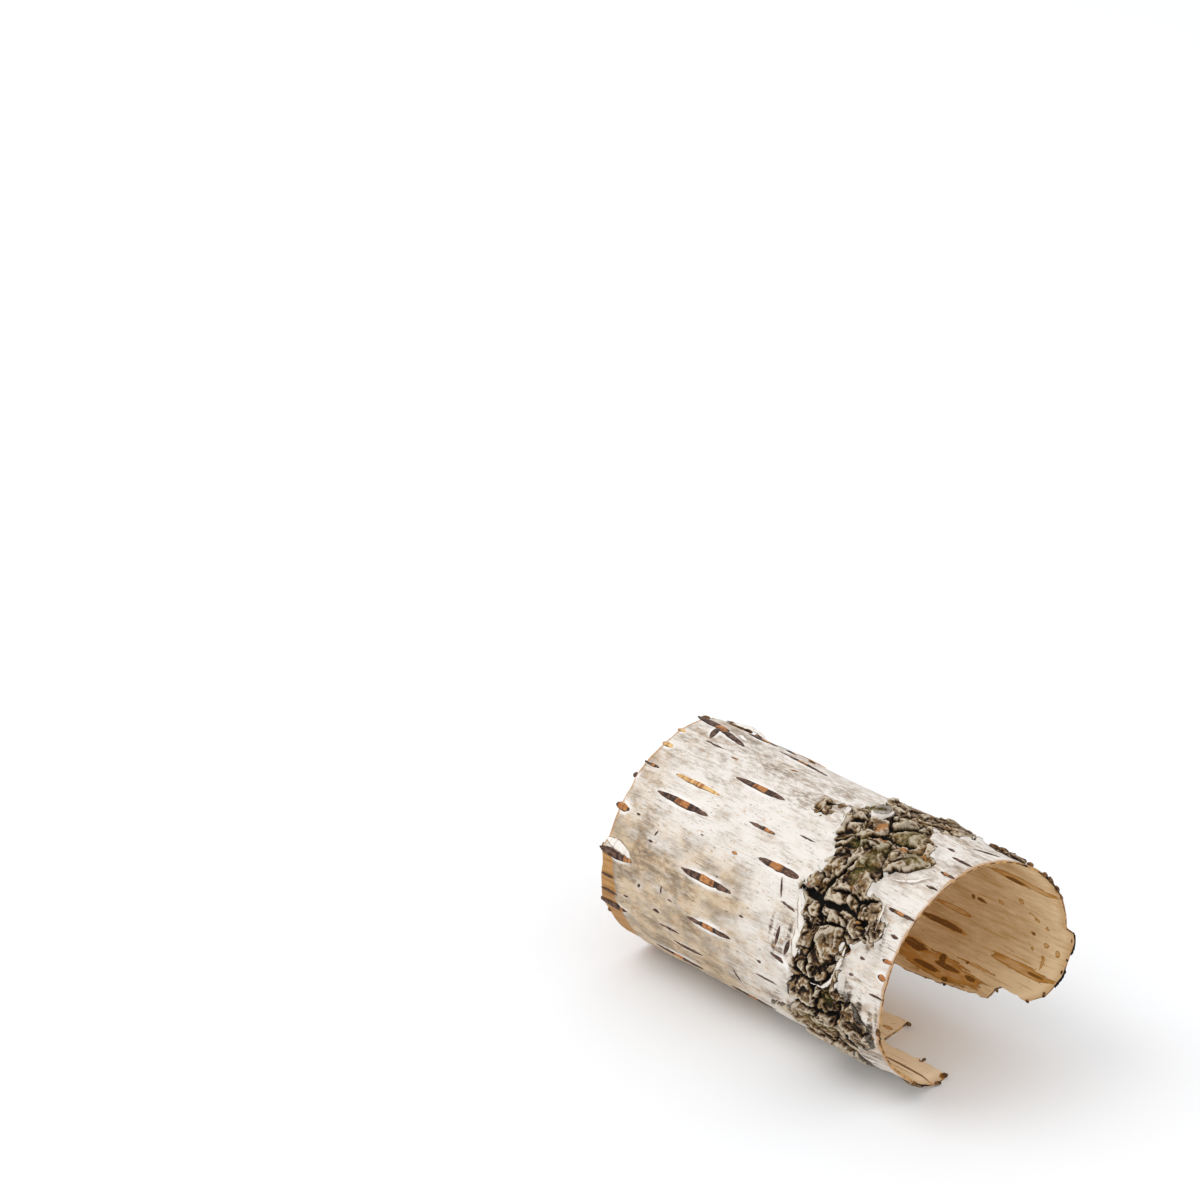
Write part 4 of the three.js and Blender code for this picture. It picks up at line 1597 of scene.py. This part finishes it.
    def cracked(self, ground: CorkGround) -> Array:
        """How deep places lie in a crack.

        Args:
            ground: The places that the cork covers.

        Returns:
            One value from 0 to 1 for each place.
        """
        warp, grit = Grain(Seed.GAP), Grain(Seed.GRIT)
        gap = np.minimum(0.6 * warp.at(ground.x, ground.y, (5.0, 5.0), 2), 0.2)
        crack = (1.0 - ease(ground.edge - gap, -0.12, 0.12)) * ~ground.strips * ~ground.lumpy
        for line in self.CRACKS:
            half = 0.5 * line.width * (1.0 + 0.55 * grit.at(ground.x, ground.y + 60.0, (1.3, 1.3), 3))
            crack = np.maximum(crack, 1.0 - ease(ground.to_line(line) - half, -0.2, 0.14))
        return crack

    def filmed(self, ground: CorkGround) -> Array:
        """How far the white film reaches over the border of the cork in ragged fingers.

        Args:
            ground: The places that the cork covers.

        Returns:
            One value from 0 to 1 for each place.
        """
        grit = Grain(Seed.GRIT)
        fingers = grit.at(ground.x, ground.y + 33.0, (0.75, 3.4), 2)
        fingers = fingers + 0.3 * grit.at(ground.x, ground.y, (0.5, 0.9), 1)
        reach = ease(fingers - 0.9 * (ground.inside - 0.25), -0.1, 0.25)
        reach = reach * (1.0 - 0.6 * ease(ground.angle, 165.0, 180.0))
        reach = reach * (1.0 - 0.85 * ease(ground.spots(self.BARE), 0.0, 0.4))
        return reach * (1.0 - ease(ground.inside, 0.7, 1.5)) * ~ground.lumpy

    @staticmethod
    def on_grid(values: Array, kept: Array) -> Array:
        """Values of the kept places laid out on the whole grid.

        Args:
            values: One value for each kept place.
            kept: Which places of the grid are kept.

        Returns:
            The grid, with 0 at the other places.
        """
        grid = np.zeros(kept.shape)
        grid[kept] = values
        return grid

    @staticmethod
    def blurred(values: Array, reach: int) -> Array:
        """Smooths a grid of values.

        Args:
            values: The grid.
            reach: How many cells away a value still counts.

        Returns:
            The grid of means.
        """
        for axis in (0, 1):
            values = sum(np.roll(values, shift, axis) for shift in range(-reach, reach + 1)) / (2 * reach + 1)
        return values


class PoreLook(Enum):
    """How a pore looks: dark with an orange core, or golden all over."""

    CORED = 0.0
    GOLDEN = 1.0


@dataclass(frozen=True)
class Pore:
    """A breathing pore: where it starts and ends, its angle, its width and its core, if it has one."""

    x_from: float
    x_to: float
    angle: float
    width: float
    core_at: float = 0.0
    core_half: float = 0.0
    look: PoreLook = PoreLook.CORED
    tilt: float = 0.0

    SWELL: ClassVar[float] = 0.16

    @property
    def swell(self) -> float:
        """How far the bark swells round the pore, mm."""
        return self.SWELL * min(self.width, 1.0)

    @property
    def middle(self) -> Pair:
        """The pore's middle on the flat bark, mm."""
        return (self.x_from + self.x_to) / 2, float(ROLL.y_at(self.angle))

    def local(self, x: Array, y: Array) -> tuple[Array, Array]:
        """Places seen from the pore's middle.

        Args:
            x: Places along the roll, mm.
            y: Places round the roll, mm.

        Returns:
            Places along and across the pore, mm.
        """
        cosine, sine = math.cos(math.radians(self.tilt)), math.sin(math.radians(self.tilt))
        away_x, away_y = x - self.middle[0], y - self.middle[1]
        return away_x * cosine + away_y * sine, away_y * cosine - away_x * sine


@dataclass
class Pores(BarkPiece):
    """The breathing pores: spindles along the roll, one lens shape instanced on measured places."""

    name: str = "pores"
    rise: float = 0.3
    sunk: float = 0.16
    segments: int = 14
    rings: int = 22
    ruffle: float = 0.45
    taper_power: float = 0.08
    half_width: float = 0.51

    RUFFLES_PER_METRE: ClassVar[Scale] = (900.0, 1500.0, 400.0)
    SEEN: ClassVar[list[Pore]] = [
        Pore(-13.4, -3.6, 105.5, 1.05, 0.0, 0.26),
        Pore(-22.0, -13.0, 118.5, 0.8, 0.0, 0.26, look=PoreLook.GOLDEN),
        Pore(-22.8, -12.5, 130.4, 1.15, 0.0, 0.26), Pore(-5.8, -0.6, 123.8, 0.55, 0.5, 0.3),
        Pore(2.8, 5.9, 118.7, 0.3), Pore(-0.9, 8.2, 137.4, 1.1, -0.2, 0.26),
        Pore(-13.0, -2.9, 158.2, 1.2, 0.05, 0.27), Pore(-10.5, -1.7, 180.2, 0.95, -0.02, 0.24),
        Pore(6.1, 11.2, 177.2, 0.85, 0.5, 0.25, tilt=-8.0), Pore(5.5, 8.5, 166.5, 0.6, tilt=88.0),
        Pore(7.8, 10.4, 169.5, 0.8, tilt=78.0), Pore(3.4, 6.5, 144.6, 0.3, tilt=-65.0),
        Pore(5.7, 9.0, 151.4, 0.32, tilt=-10.0), Pore(-19.9, -19.0, 148.8, 0.25, tilt=70.0),
        Pore(-24.2, -23.4, 144.3, 0.35), Pore(-20.8, -20.1, 177.2, 0.45, tilt=50.0),
        Pore(-16.6, -15.4, 173.6, 0.25, tilt=88.0), Pore(-23.8, -22.7, 187.0, 0.3),
        Pore(-14.5, -13.7, 176.8, 0.25), Pore(-12.0, -11.4, 139.5, 0.3), Pore(-0.6, 0.3, 166.3, 0.35),
        Pore(-6.6, -5.9, 154.3, 0.22), Pore(3.5, 4.3, 184.4, 0.4),
        Pore(-2.6, -0.3, 202.2, 0.25, tilt=-65.0), Pore(25.2, 26.7, 141.8, 0.5),
        Pore(24.0, 28.2, 73.6, 0.35, tilt=22.0), Pore(-9.0, -7.4, 83.3, 0.3, 0.0, 0.9, tilt=20.0),
        Pore(-17.6, -16.2, 94.6, 0.25, 0.0, 0.9), Pore(-29.0, -22.3, 167.3, 1.35, 0.75, 0.22),
        Pore(-28.4, -25.6, 144.6, 1.1, 0.0, 0.7), Pore(-28.3, -25.2, 119.6, 0.5, 0.2, 0.2),
        Pore(-28.4, -27.6, 128.0, 0.9), Pore(-30.5, -23.6, 75.2, 2.0, 0.55, 0.25, tilt=-4.0),
        Pore(-26.4, -18.2, 79.6, 1.3, -0.6, 0.3, tilt=-16.0), Pore(-26.6, -22.2, 83.0, 1.0, tilt=-64.0),
        Pore(-28.3, -26.2, 106.0, 0.9, 0.0, 0.26, look=PoreLook.GOLDEN),
        Pore(-28.9, -27.3, 93.4, 0.8, 0.0, 0.26, look=PoreLook.GOLDEN),
        Pore(-23.0, -17.0, 63.5, 1.4, 0.3, 0.3), Pore(-15.6, -13.4, 62.5, 0.9),
        Pore(-15.0, -4.6, 71.3, 0.85, 0.0, 0.2, tilt=-4.5), Pore(-23.6, -19.8, 92.2, 0.3),
        Pore(-14.4, -8.3, 200.7, 0.6), Pore(-16.6, -12.4, 193.3, 0.4), Pore(-17.6, -16.2, 186.2, 0.45),
        Pore(-19.8, -10.0, 215.0, 0.95, 0.0, 0.2), Pore(-5.0, 4.0, 219.0, 0.7, 0.0, 0.2),
        Pore(2.8, 7.2, 193.0, 0.35), Pore(-29.0, -23.4, 197.0, 1.1, 0.6, 0.1),
        Pore(-28.2, -25.7, 180.3, 0.5), Pore(-28.6, -25.0, 189.2, 0.35), Pore(24.3, 28.2, 91.3, 0.5),
        Pore(25.0, 28.2, 103.4, 0.55, 0.0, 0.3), Pore(25.4, 27.8, 113.4, 0.35),
        Pore(22.0, 27.8, 131.4, 0.6, 0.0, 0.3), Pore(25.6, 27.5, 153.5, 0.7, 0.2, 0.7),
        Pore(25.7, 27.2, 161.4, 0.9, 0.2, 0.7), Pore(24.8, 27.4, 171.2, 0.4), Pore(21.9, 22.8, 157.4, 0.45),
        Pore(20.7, 21.6, 166.8, 0.45), Pore(22.3, 23.7, 86.6, 0.6), Pore(-5.6, -4.5, 140.4, 0.4, 0.0, 0.9),
        Pore(-20.4, -19.5, 153.3, 0.4),
    ]
    AWAY_FROM_VIEW: ClassVar[int] = 12
    AWAY_MIDDLE: ClassVar[Pair] = (-24.0, 48.0)
    AWAY_ANGLE: ClassVar[Pair] = (-36.0, 92.0)
    AWAY_JITTER: ClassVar[float] = 0.4
    AWAY_LENGTH: ClassVar[Pair] = (5.0, 6.0)
    AWAY_WIDTH: ClassVar[Pair] = (0.65, 0.05)

    def finish(self) -> Finish:
        """Brown with an orange core."""
        return PoreFinish()

    @classmethod
    def all_pores(cls) -> list[Pore]:
        """The measured pores and those on the side turned away, in the CAD model's order of draws."""
        draws = Draws(Seed.CAD)
        BAND.plates(draws)
        made = list(cls.SEEN)
        for i in range(cls.AWAY_FROM_VIEW):
            middle = cls.AWAY_MIDDLE[0] + cls.AWAY_MIDDLE[1] * draws.next()
            step = i + 0.5 + cls.AWAY_JITTER * draws.spread()
            angle = cls.AWAY_ANGLE[0] + cls.AWAY_ANGLE[1] * step / cls.AWAY_FROM_VIEW
            length = cls.AWAY_LENGTH[0] + cls.AWAY_LENGTH[1] * draws.next()
            look = PoreLook.GOLDEN if i % 7 == 4 else PoreLook.CORED
            core = (0.0, 0.0) if i % 3 == 1 else (0.12 * (i % 5 - 2), 0.12 + 0.03 * (i % 6))
            width = cls.AWAY_WIDTH[0] + cls.AWAY_WIDTH[1] * length
            made.append(Pore(middle - length / 2, middle + length / 2, angle, width, *core, look))
        return made

    def flat_mesh(self) -> bpy.types.Mesh:
        """One point for each pore, with its size and core as attributes."""
        pores = self.all_pores()
        level = self.rise / 2 - self.sunk
        places = np.array([(*p.middle, level + p.swell) for p in pores])
        halves = [((p.x_to - p.x_from) / 2, self.half_width * p.width, self.rise / 2) for p in pores]
        size = np.array(halves) * MM
        core = np.array([(p.core_at, p.core_half, p.look.value) for p in pores])
        turn = np.array([(0.0, 0.0, math.radians(p.tilt)) for p in pores])
        return self.mesh_of(places, [], {"size": size, "core": core, "turn": turn})

    def scatter(self, piece: bpy.types.Object) -> None:
        """Instances a lens on each point and ruffles its outline."""
        sizes = {"Segments": self.segments, "Rings": self.rings, "Ruffle": self.ruffle * MM}
        tree = PieceTree("set_pores", sizes)
        given, local = tree.given, tree.place()
        ball = tree.out("GeometryNodeMeshUVSphere", {0: given["Segments"], 1: given["Rings"], 2: 1.0})
        lens = tree.out("GeometryNodeTransform", {"Geometry": ball, "Rotation": (0.0, math.pi / 2, 0.0)})
        x, y, z = tree.split(local)
        room = tree.math("MAXIMUM", tree.math("SUBTRACT", 1.0, tree.math("MULTIPLY", x, x)), 0.0)
        taper = tree.math("MULTIPLY", y, tree.math("POWER", room, self.taper_power))
        lens = tree.store(tree.moved(lens, Position=tree.joined(x, taper, z)), "lens", local)
        turn = tree.out("FunctionNodeEulerToRotation", {0: tree.read("turn", "FLOAT_VECTOR")})
        real = tree.set_out(lens, Rotation=turn)
        wobble = tree.math("SUBTRACT", tree.noise(tree.place(), self.RUFFLES_PER_METRE, 2.0), 0.5)
        shift = tree.joined(0.0, tree.math("MULTIPLY", wobble, given["Ruffle"]))
        tree.end(tree.moved(real, Offset=shift))
        tree.put_on(piece)


@dataclass(frozen=True)
class Film:
    """A strip of white film: its points as (x, angle, height), width, tilt and whether it has a root."""

    points: tuple[tuple[float, float, float], ...]
    width: float
    tilt: float = 25.0
    rooted: bool = False


@dataclass
class FilmCurls(BarkPiece):
    """Curls and lips of white film along the torn borders of the cork, swept along their own lines."""

    name: str = "film_curls"
    thinness: float = 0.12
    pace: float = 0.18
    crinkle: float = 0.5
    crinkles_per_metre: float = 1300.0
    ring_points: int = 12
    arch_power: float = 0.6
    least_width: float = 0.12

    FILMS: ClassVar[list[Film]] = [
        Film(((20.6, 118.4, 0.3), (22.6, 116.6, 0.35), (24.3, 113.0, 0.35), (25.2, 108.6, 0.3)), 0.5, 12.0),
        Film((
            (8.5, 86.6, 1.0), (8.9, 90.2, 1.0), (9.9, 92.2, 1.0), (11.0, 90.2, 1.0), (11.3, 86.6, 1.0),
            (10.9, 82.6, 1.0),
        ), 0.9, 60.0),
        Film(((10.9, 83.2, 1.0), (9.9, 80.9, 1.0), (8.9, 82.8, 1.0), (8.5, 87.2, 1.0)), 0.7, 60.0),
        Film(((22.2, 130.5, 0.3), (22.9, 137.7, 0.9), (23.1, 148.7, 0.7)), 1.0, 30.0),
        Film(((24.2, 136.4, 0.3), (23.9, 144.1, 0.6), (23.5, 149.4, 0.5)), 1.0, 20.0),
        Film(((22.6, 139.2, 0.9), (22.2, 143.0, 1.1), (21.9, 148.5, 0.9)), 0.6, 50.0),
        Film((
            (14.9, 178.8, 1.0), (17.3, 177.0, 1.15), (18.7, 172.4, 1.1), (19.1, 167.1, 0.8),
            (19.3, 161.9, 0.6), (19.4, 156.2, 0.5),
        ), 0.7, 35.0),
        Film(((10.7, 158.6, 0.3), (10.9, 164.0, 0.7), (11.2, 171.2, 0.7)), 1.4, -12.0, True),
        Film(((8.3, 140.0, 0.4), (9.6, 147.0, 0.6), (10.8, 155.4, 0.6), (11.1, 161.0, 0.5)), 1.0, -20.0),
        Film((
            (-27.9, 161.6, 0.2), (-25.6, 161.9, 0.4), (-24.0, 163.4, 0.3), (-22.6, 165.6, 0.15),
        ), 1.6, -25.0),
        Film(((-28.8, 59.0, 0.1), (-26.4, 57.5, 0.5), (-23.8, 56.0, 0.65), (-21.4, 55.0, 0.2)), 1.1, 30.0),
        Film(((-21.6, 76.6, 0.3), (-20.6, 77.4, 0.5), (-19.4, 78.2, 0.3)), 0.6, 25.0),
    ]

    def finish(self) -> Finish:
        """White film."""
        return FilmFinish()

    def flat_mesh(self) -> bpy.types.Mesh:
        """One open line of edges for each film, with its width and its tilt on the points."""
        places, edges, width, tilt, root = [], [], [], [], []
        for film in self.FILMS:
            first, count = len(places), len(film.points)
            places += [(x, float(ROLL.y_at(angle)), height) for x, angle, height in film.points]
            edges += [(i, i + 1) for i in range(first, first + count - 1)]
            width += [film.width / 2 * MM] * count
            tilt += [math.radians(film.tilt)] * count
            root += [float(film.rooted)] * count
        fields = {"width": np.array(width), "tilt_by": np.array(tilt), "root": np.array(root)}
        return self.mesh_of(np.array(places), [], fields, edges)

    def scatter(self, piece: bpy.types.Object) -> None:
        """Sweeps a thin oval along each line, narrow at both ends."""
        sizes = {"Thinness": self.thinness, "Pace": self.pace * MM, "Crinkle": self.crinkle * MM}
        tree = PieceTree("sweep_films", sizes)
        lines = tree.out("GeometryNodeMeshToCurve", {0: tree.given["Geometry"]})
        lines = tree.out("GeometryNodeCurveSplineType", {0: lines}, spline_type="CATMULL_ROM")
        lines = tree.out("GeometryNodeResampleCurve", {"Curve": lines, 3: tree.given["Pace"]}, mode="LENGTH")
        lines = tree.out("GeometryNodeSetCurveNormal", {"Curve": lines}, mode="Z_UP")
        lines = tree.out("GeometryNodeSetCurveTilt", {"Curve": lines, "Tilt": tree.read("tilt_by")})
        way = tree.out("GeometryNodeSplineParameter")
        start = tree.math("MULTIPLY", tree.math("SUBTRACT", 1.0, way), tree.read("root"))
        share = tree.math("MAXIMUM", tree.math("SINE", tree.math("MULTIPLY", way, math.pi)), start)
        arch = tree.math("MAXIMUM", tree.math("POWER", share, self.arch_power), self.least_width)
        ring = tree.out("GeometryNodeCurvePrimitiveCircle", {"Resolution": self.ring_points, "Radius": 1.0})
        squash = tree.joined(1.0, tree.given["Thinness"], 1.0)
        ring = tree.out("GeometryNodeTransform", {"Geometry": ring, "Scale": squash})
        across = tree.math("ABSOLUTE", tree.split(tree.place())[0])
        swept = tree.out("GeometryNodeCurveToMesh", {
            "Curve": lines, "Profile Curve": tree.store(ring, "rim", across, "FLOAT"),
            "Scale": tree.math("MULTIPLY", tree.read("width"), arch), "Fill Caps": True,
        })
        tree.end(tree.shaken(swept, self.crinkles_per_metre, 2.0, tree.given["Crinkle"]))
        tree.put_on(piece)


@dataclass(frozen=True)
class Crumb:
    """A crumb on a torn rim: its place, its height over the white face, and its size."""

    x: float
    angle: float
    height: float
    length: float
    width: float
    tall: float


@dataclass
class RimCrumbs(BarkPiece):
    """Crumbs that cling to the torn rims, one lump shape instanced and roughened."""

    name: str = "rim_crumbs"
    fineness: int = 4
    roughness: float = 0.45
    bumps_per_metre: float = 1500.0

    CRUMBS: ClassVar[list[Crumb]] = [Crumb(*row) for row in (
        (-27.8, 119.5, -0.2, 0.9, 0.6, 0.5), (-27.6, 127.9, -0.15, 0.7, 0.8, 0.5),
        (-27.6, 144.1, -0.1, 1.1, 0.8, 0.6), (-28.4, 166.9, -0.1, 0.7, 1.2, 0.6),
        (-28.9, 197.2, -0.1, 0.8, 0.8, 0.5), (-28.4, 205.0, -0.2, 0.6, 0.6, 0.5),
        (-30.0, 70.0, 0.0, 1.2, 1.8, 0.6), (-27.6, 56.5, 0.1, 3.4, 1.6, 0.8),
        (-25.6, 55.5, 0.2, 2.6, 1.2, 0.7), (-22.9, 55.5, 0.1, 1.4, 0.9, 0.5),
        (-11.2, 59.0, 0.05, 1.4, 0.8, 0.4), (14.2, 282.3, -0.5, 0.8, 0.7, 0.6),
        (26.9, 260.6, -0.5, 1.0, 0.7, 0.6), (22.2, 262.8, -0.6, 0.4, 0.9, 0.5),
        (27.5, 253.0, -0.3, 0.7, 1.4, 0.5), (28.2, 231.0, -0.1, 0.7, 1.4, 0.6),
        (26.6, 190.0, 0.0, 0.7, 1.5, 0.7), (26.4, 196.0, 0.0, 0.7, 1.2, 0.6),
        (31.2, 32.0, -0.1, 0.7, 1.5, 0.6), (31.1, 40.0, -0.1, 0.7, 1.6, 0.6),
        (31.0, 46.0, -0.1, 0.6, 1.2, 0.6), (32.6, 0.5, -0.25, 0.4, 0.9, 0.4),
        (32.1, -10.5, -0.25, 0.35, 0.7, 0.4), (31.7, -17.5, -0.25, 0.4, 0.8, 0.4),
        (30.1, -31.5, -0.3, 0.5, 1.0, 0.5), (23.9, 58.5, 0.35, 1.8, 1.1, 0.6),
        (25.4, 57.5, 0.4, 1.6, 0.9, 0.7), (26.9, 57.0, 0.35, 1.4, 0.9, 0.6),
        (28.6, 56.5, 0.3, 1.7, 1.0, 0.6), (29.9, 55.0, 0.2, 1.2, 0.9, 0.5),
        (31.3, 25.5, -0.1, 0.6, 1.4, 0.5), (14.2, -48.4, -0.4, 0.6, 0.6, 0.5),
        (10.8, -49.6, -0.4, 0.5, 0.5, 0.5), (28.0, -38.0, -0.3, 0.6, 0.5, 0.5),
        (22.6, -39.8, -0.3, 0.5, 0.6, 0.5),
    )]

    def finish(self) -> Finish:
        """Dark brown."""
        return CrumbFinish()

    def flat_mesh(self) -> bpy.types.Mesh:
        """One point for each crumb, with its size as an attribute."""
        places = np.array([(c.x, float(ROLL.y_at(c.angle)), c.height) for c in self.CRUMBS])
        size = np.array([(c.length, c.width, c.tall) for c in self.CRUMBS]) * MM / 2
        return self.mesh_of(places, [], {"size": size})

    def scatter(self, piece: bpy.types.Object) -> None:
        """Instances a rounded lump on each point and roughens it."""
        tree = PieceTree("set_crumbs", {"Fineness": self.fineness, "Roughness": self.roughness * MM})
        ball = tree.out("GeometryNodeMeshIcoSphere", {"Radius": 1.0, "Subdivisions": tree.given["Fineness"]})
        lumps = tree.set_out(ball)
        tree.end(tree.shaken(lumps, self.bumps_per_metre, 3.0, tree.given["Roughness"]))
        tree.put_on(piece)


@dataclass
class Studio:
    """The pale floor, the soft light and the camera."""

    floor_size: float = 6.0
    floor_colour: tuple[float, float, float, float] = (0.9, 0.91, 0.925, 1.0)
    sky_strength: float = 0.97
    lamp_place: tuple[float, float, float] = (-0.45, -0.4, 0.85)
    lamp_size: float = 0.6
    lamp_watts: float = 3.0
    focal_mm: float = 120.0
    sensor_mm: float = 36.0
    distance: float = 0.580
    aside: float = -0.032335
    above: float = 0.0435
    elevation: float = 26.2
    azimuth: float = -46.1
    clip_start: float = 0.01

    def build(self) -> None:
        """Sets up the floor, the light and the camera."""
        self.floor()
        self.light()
        self.camera()

    def floor(self) -> None:
        """A plain pale floor that is seen from above only."""
        half = self.floor_size / 2
        mesh = bpy.data.meshes.new("floor")
        corners = [(-half, -half, 0), (half, -half, 0), (half, half, 0), (-half, half, 0)]
        mesh.from_pydata(corners, [], [(0, 1, 2, 3)])
        floor = bpy.data.objects.new("floor", mesh)
        bpy.context.scene.collection.objects.link(floor)
        paper = bpy.data.materials.new("pale_floor")
        paper.use_nodes = True
        paper.node_tree.nodes.clear()
        graph = NodeGraph(paper.node_tree)
        matte = graph.out("ShaderNodeBsdfDiffuse", {"Color": self.floor_colour})
        clear = graph.out("ShaderNodeBsdfTransparent")
        back = graph.add("ShaderNodeNewGeometry").outputs["Backfacing"]
        mixed = graph.out("ShaderNodeMixShader", {0: back, 1: matte, 2: clear})
        graph.add("ShaderNodeOutputMaterial", {0: mixed})
        mesh.materials.append(paper)

    def light(self) -> None:
        """An even white sky and one square lamp that hangs above the left of the view and faces the bark."""
        scene = bpy.context.scene
        scene.view_settings.view_transform = "Standard"
        scene.view_settings.look = "None"
        world = bpy.data.worlds.new("pale_sky")
        scene.world = world
        world.use_nodes = True
        sky = world.node_tree.nodes["Background"]
        sky.inputs["Color"].default_value = (1.0, 1.0, 1.0, 1.0)
        sky.inputs["Strength"].default_value = self.sky_strength
        data = bpy.data.lights.new("overhead", "AREA")
        data.size = self.lamp_size
        data.energy = self.lamp_watts
        lamp = bpy.data.objects.new("overhead", data)
        lamp.location = Vector(self.lamp_place)
        lamp.rotation_euler = (-lamp.location).to_track_quat("-Z", "Y").to_euler()
        scene.collection.objects.link(lamp)

    def camera(self) -> None:
        """The camera, at the viewing angle and the distance of the photograph."""
        up_tilt, turn = math.radians(self.elevation), math.radians(self.azimuth)
        level = math.cos(up_tilt)
        forward = Vector((level * math.sin(turn), level * math.cos(turn), -math.sin(up_tilt)))
        right = Vector((math.cos(turn), -math.sin(turn), 0.0))
        up = right.cross(forward)
        data = bpy.data.cameras.new("camera")
        data.lens = self.focal_mm
        data.sensor_width = self.sensor_mm
        data.clip_start = self.clip_start
        camera = bpy.data.objects.new("camera", data)
        turned = Matrix((right, up, -forward)).transposed().to_4x4()
        place = ROLL.middle() - self.distance * forward + self.aside * right + self.above * up
        camera.matrix_world = Matrix.Translation(place) @ turned
        bpy.context.scene.collection.objects.link(camera)
        bpy.context.scene.camera = camera


def main() -> None:
    """Builds the pieces in order."""
    logging.basicConfig(level=logging.INFO, format="%(name)s %(message)s")
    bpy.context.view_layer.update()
    Studio().build()
    curl = CurlTree()
    sheet = BarkSheet(curl).build()
    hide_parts(CAD_NODE)
    for piece in (CorkBand, Pores, FilmCurls, RimCrumbs):
        piece(curl).build()


if __name__ == "__main__":
    main()
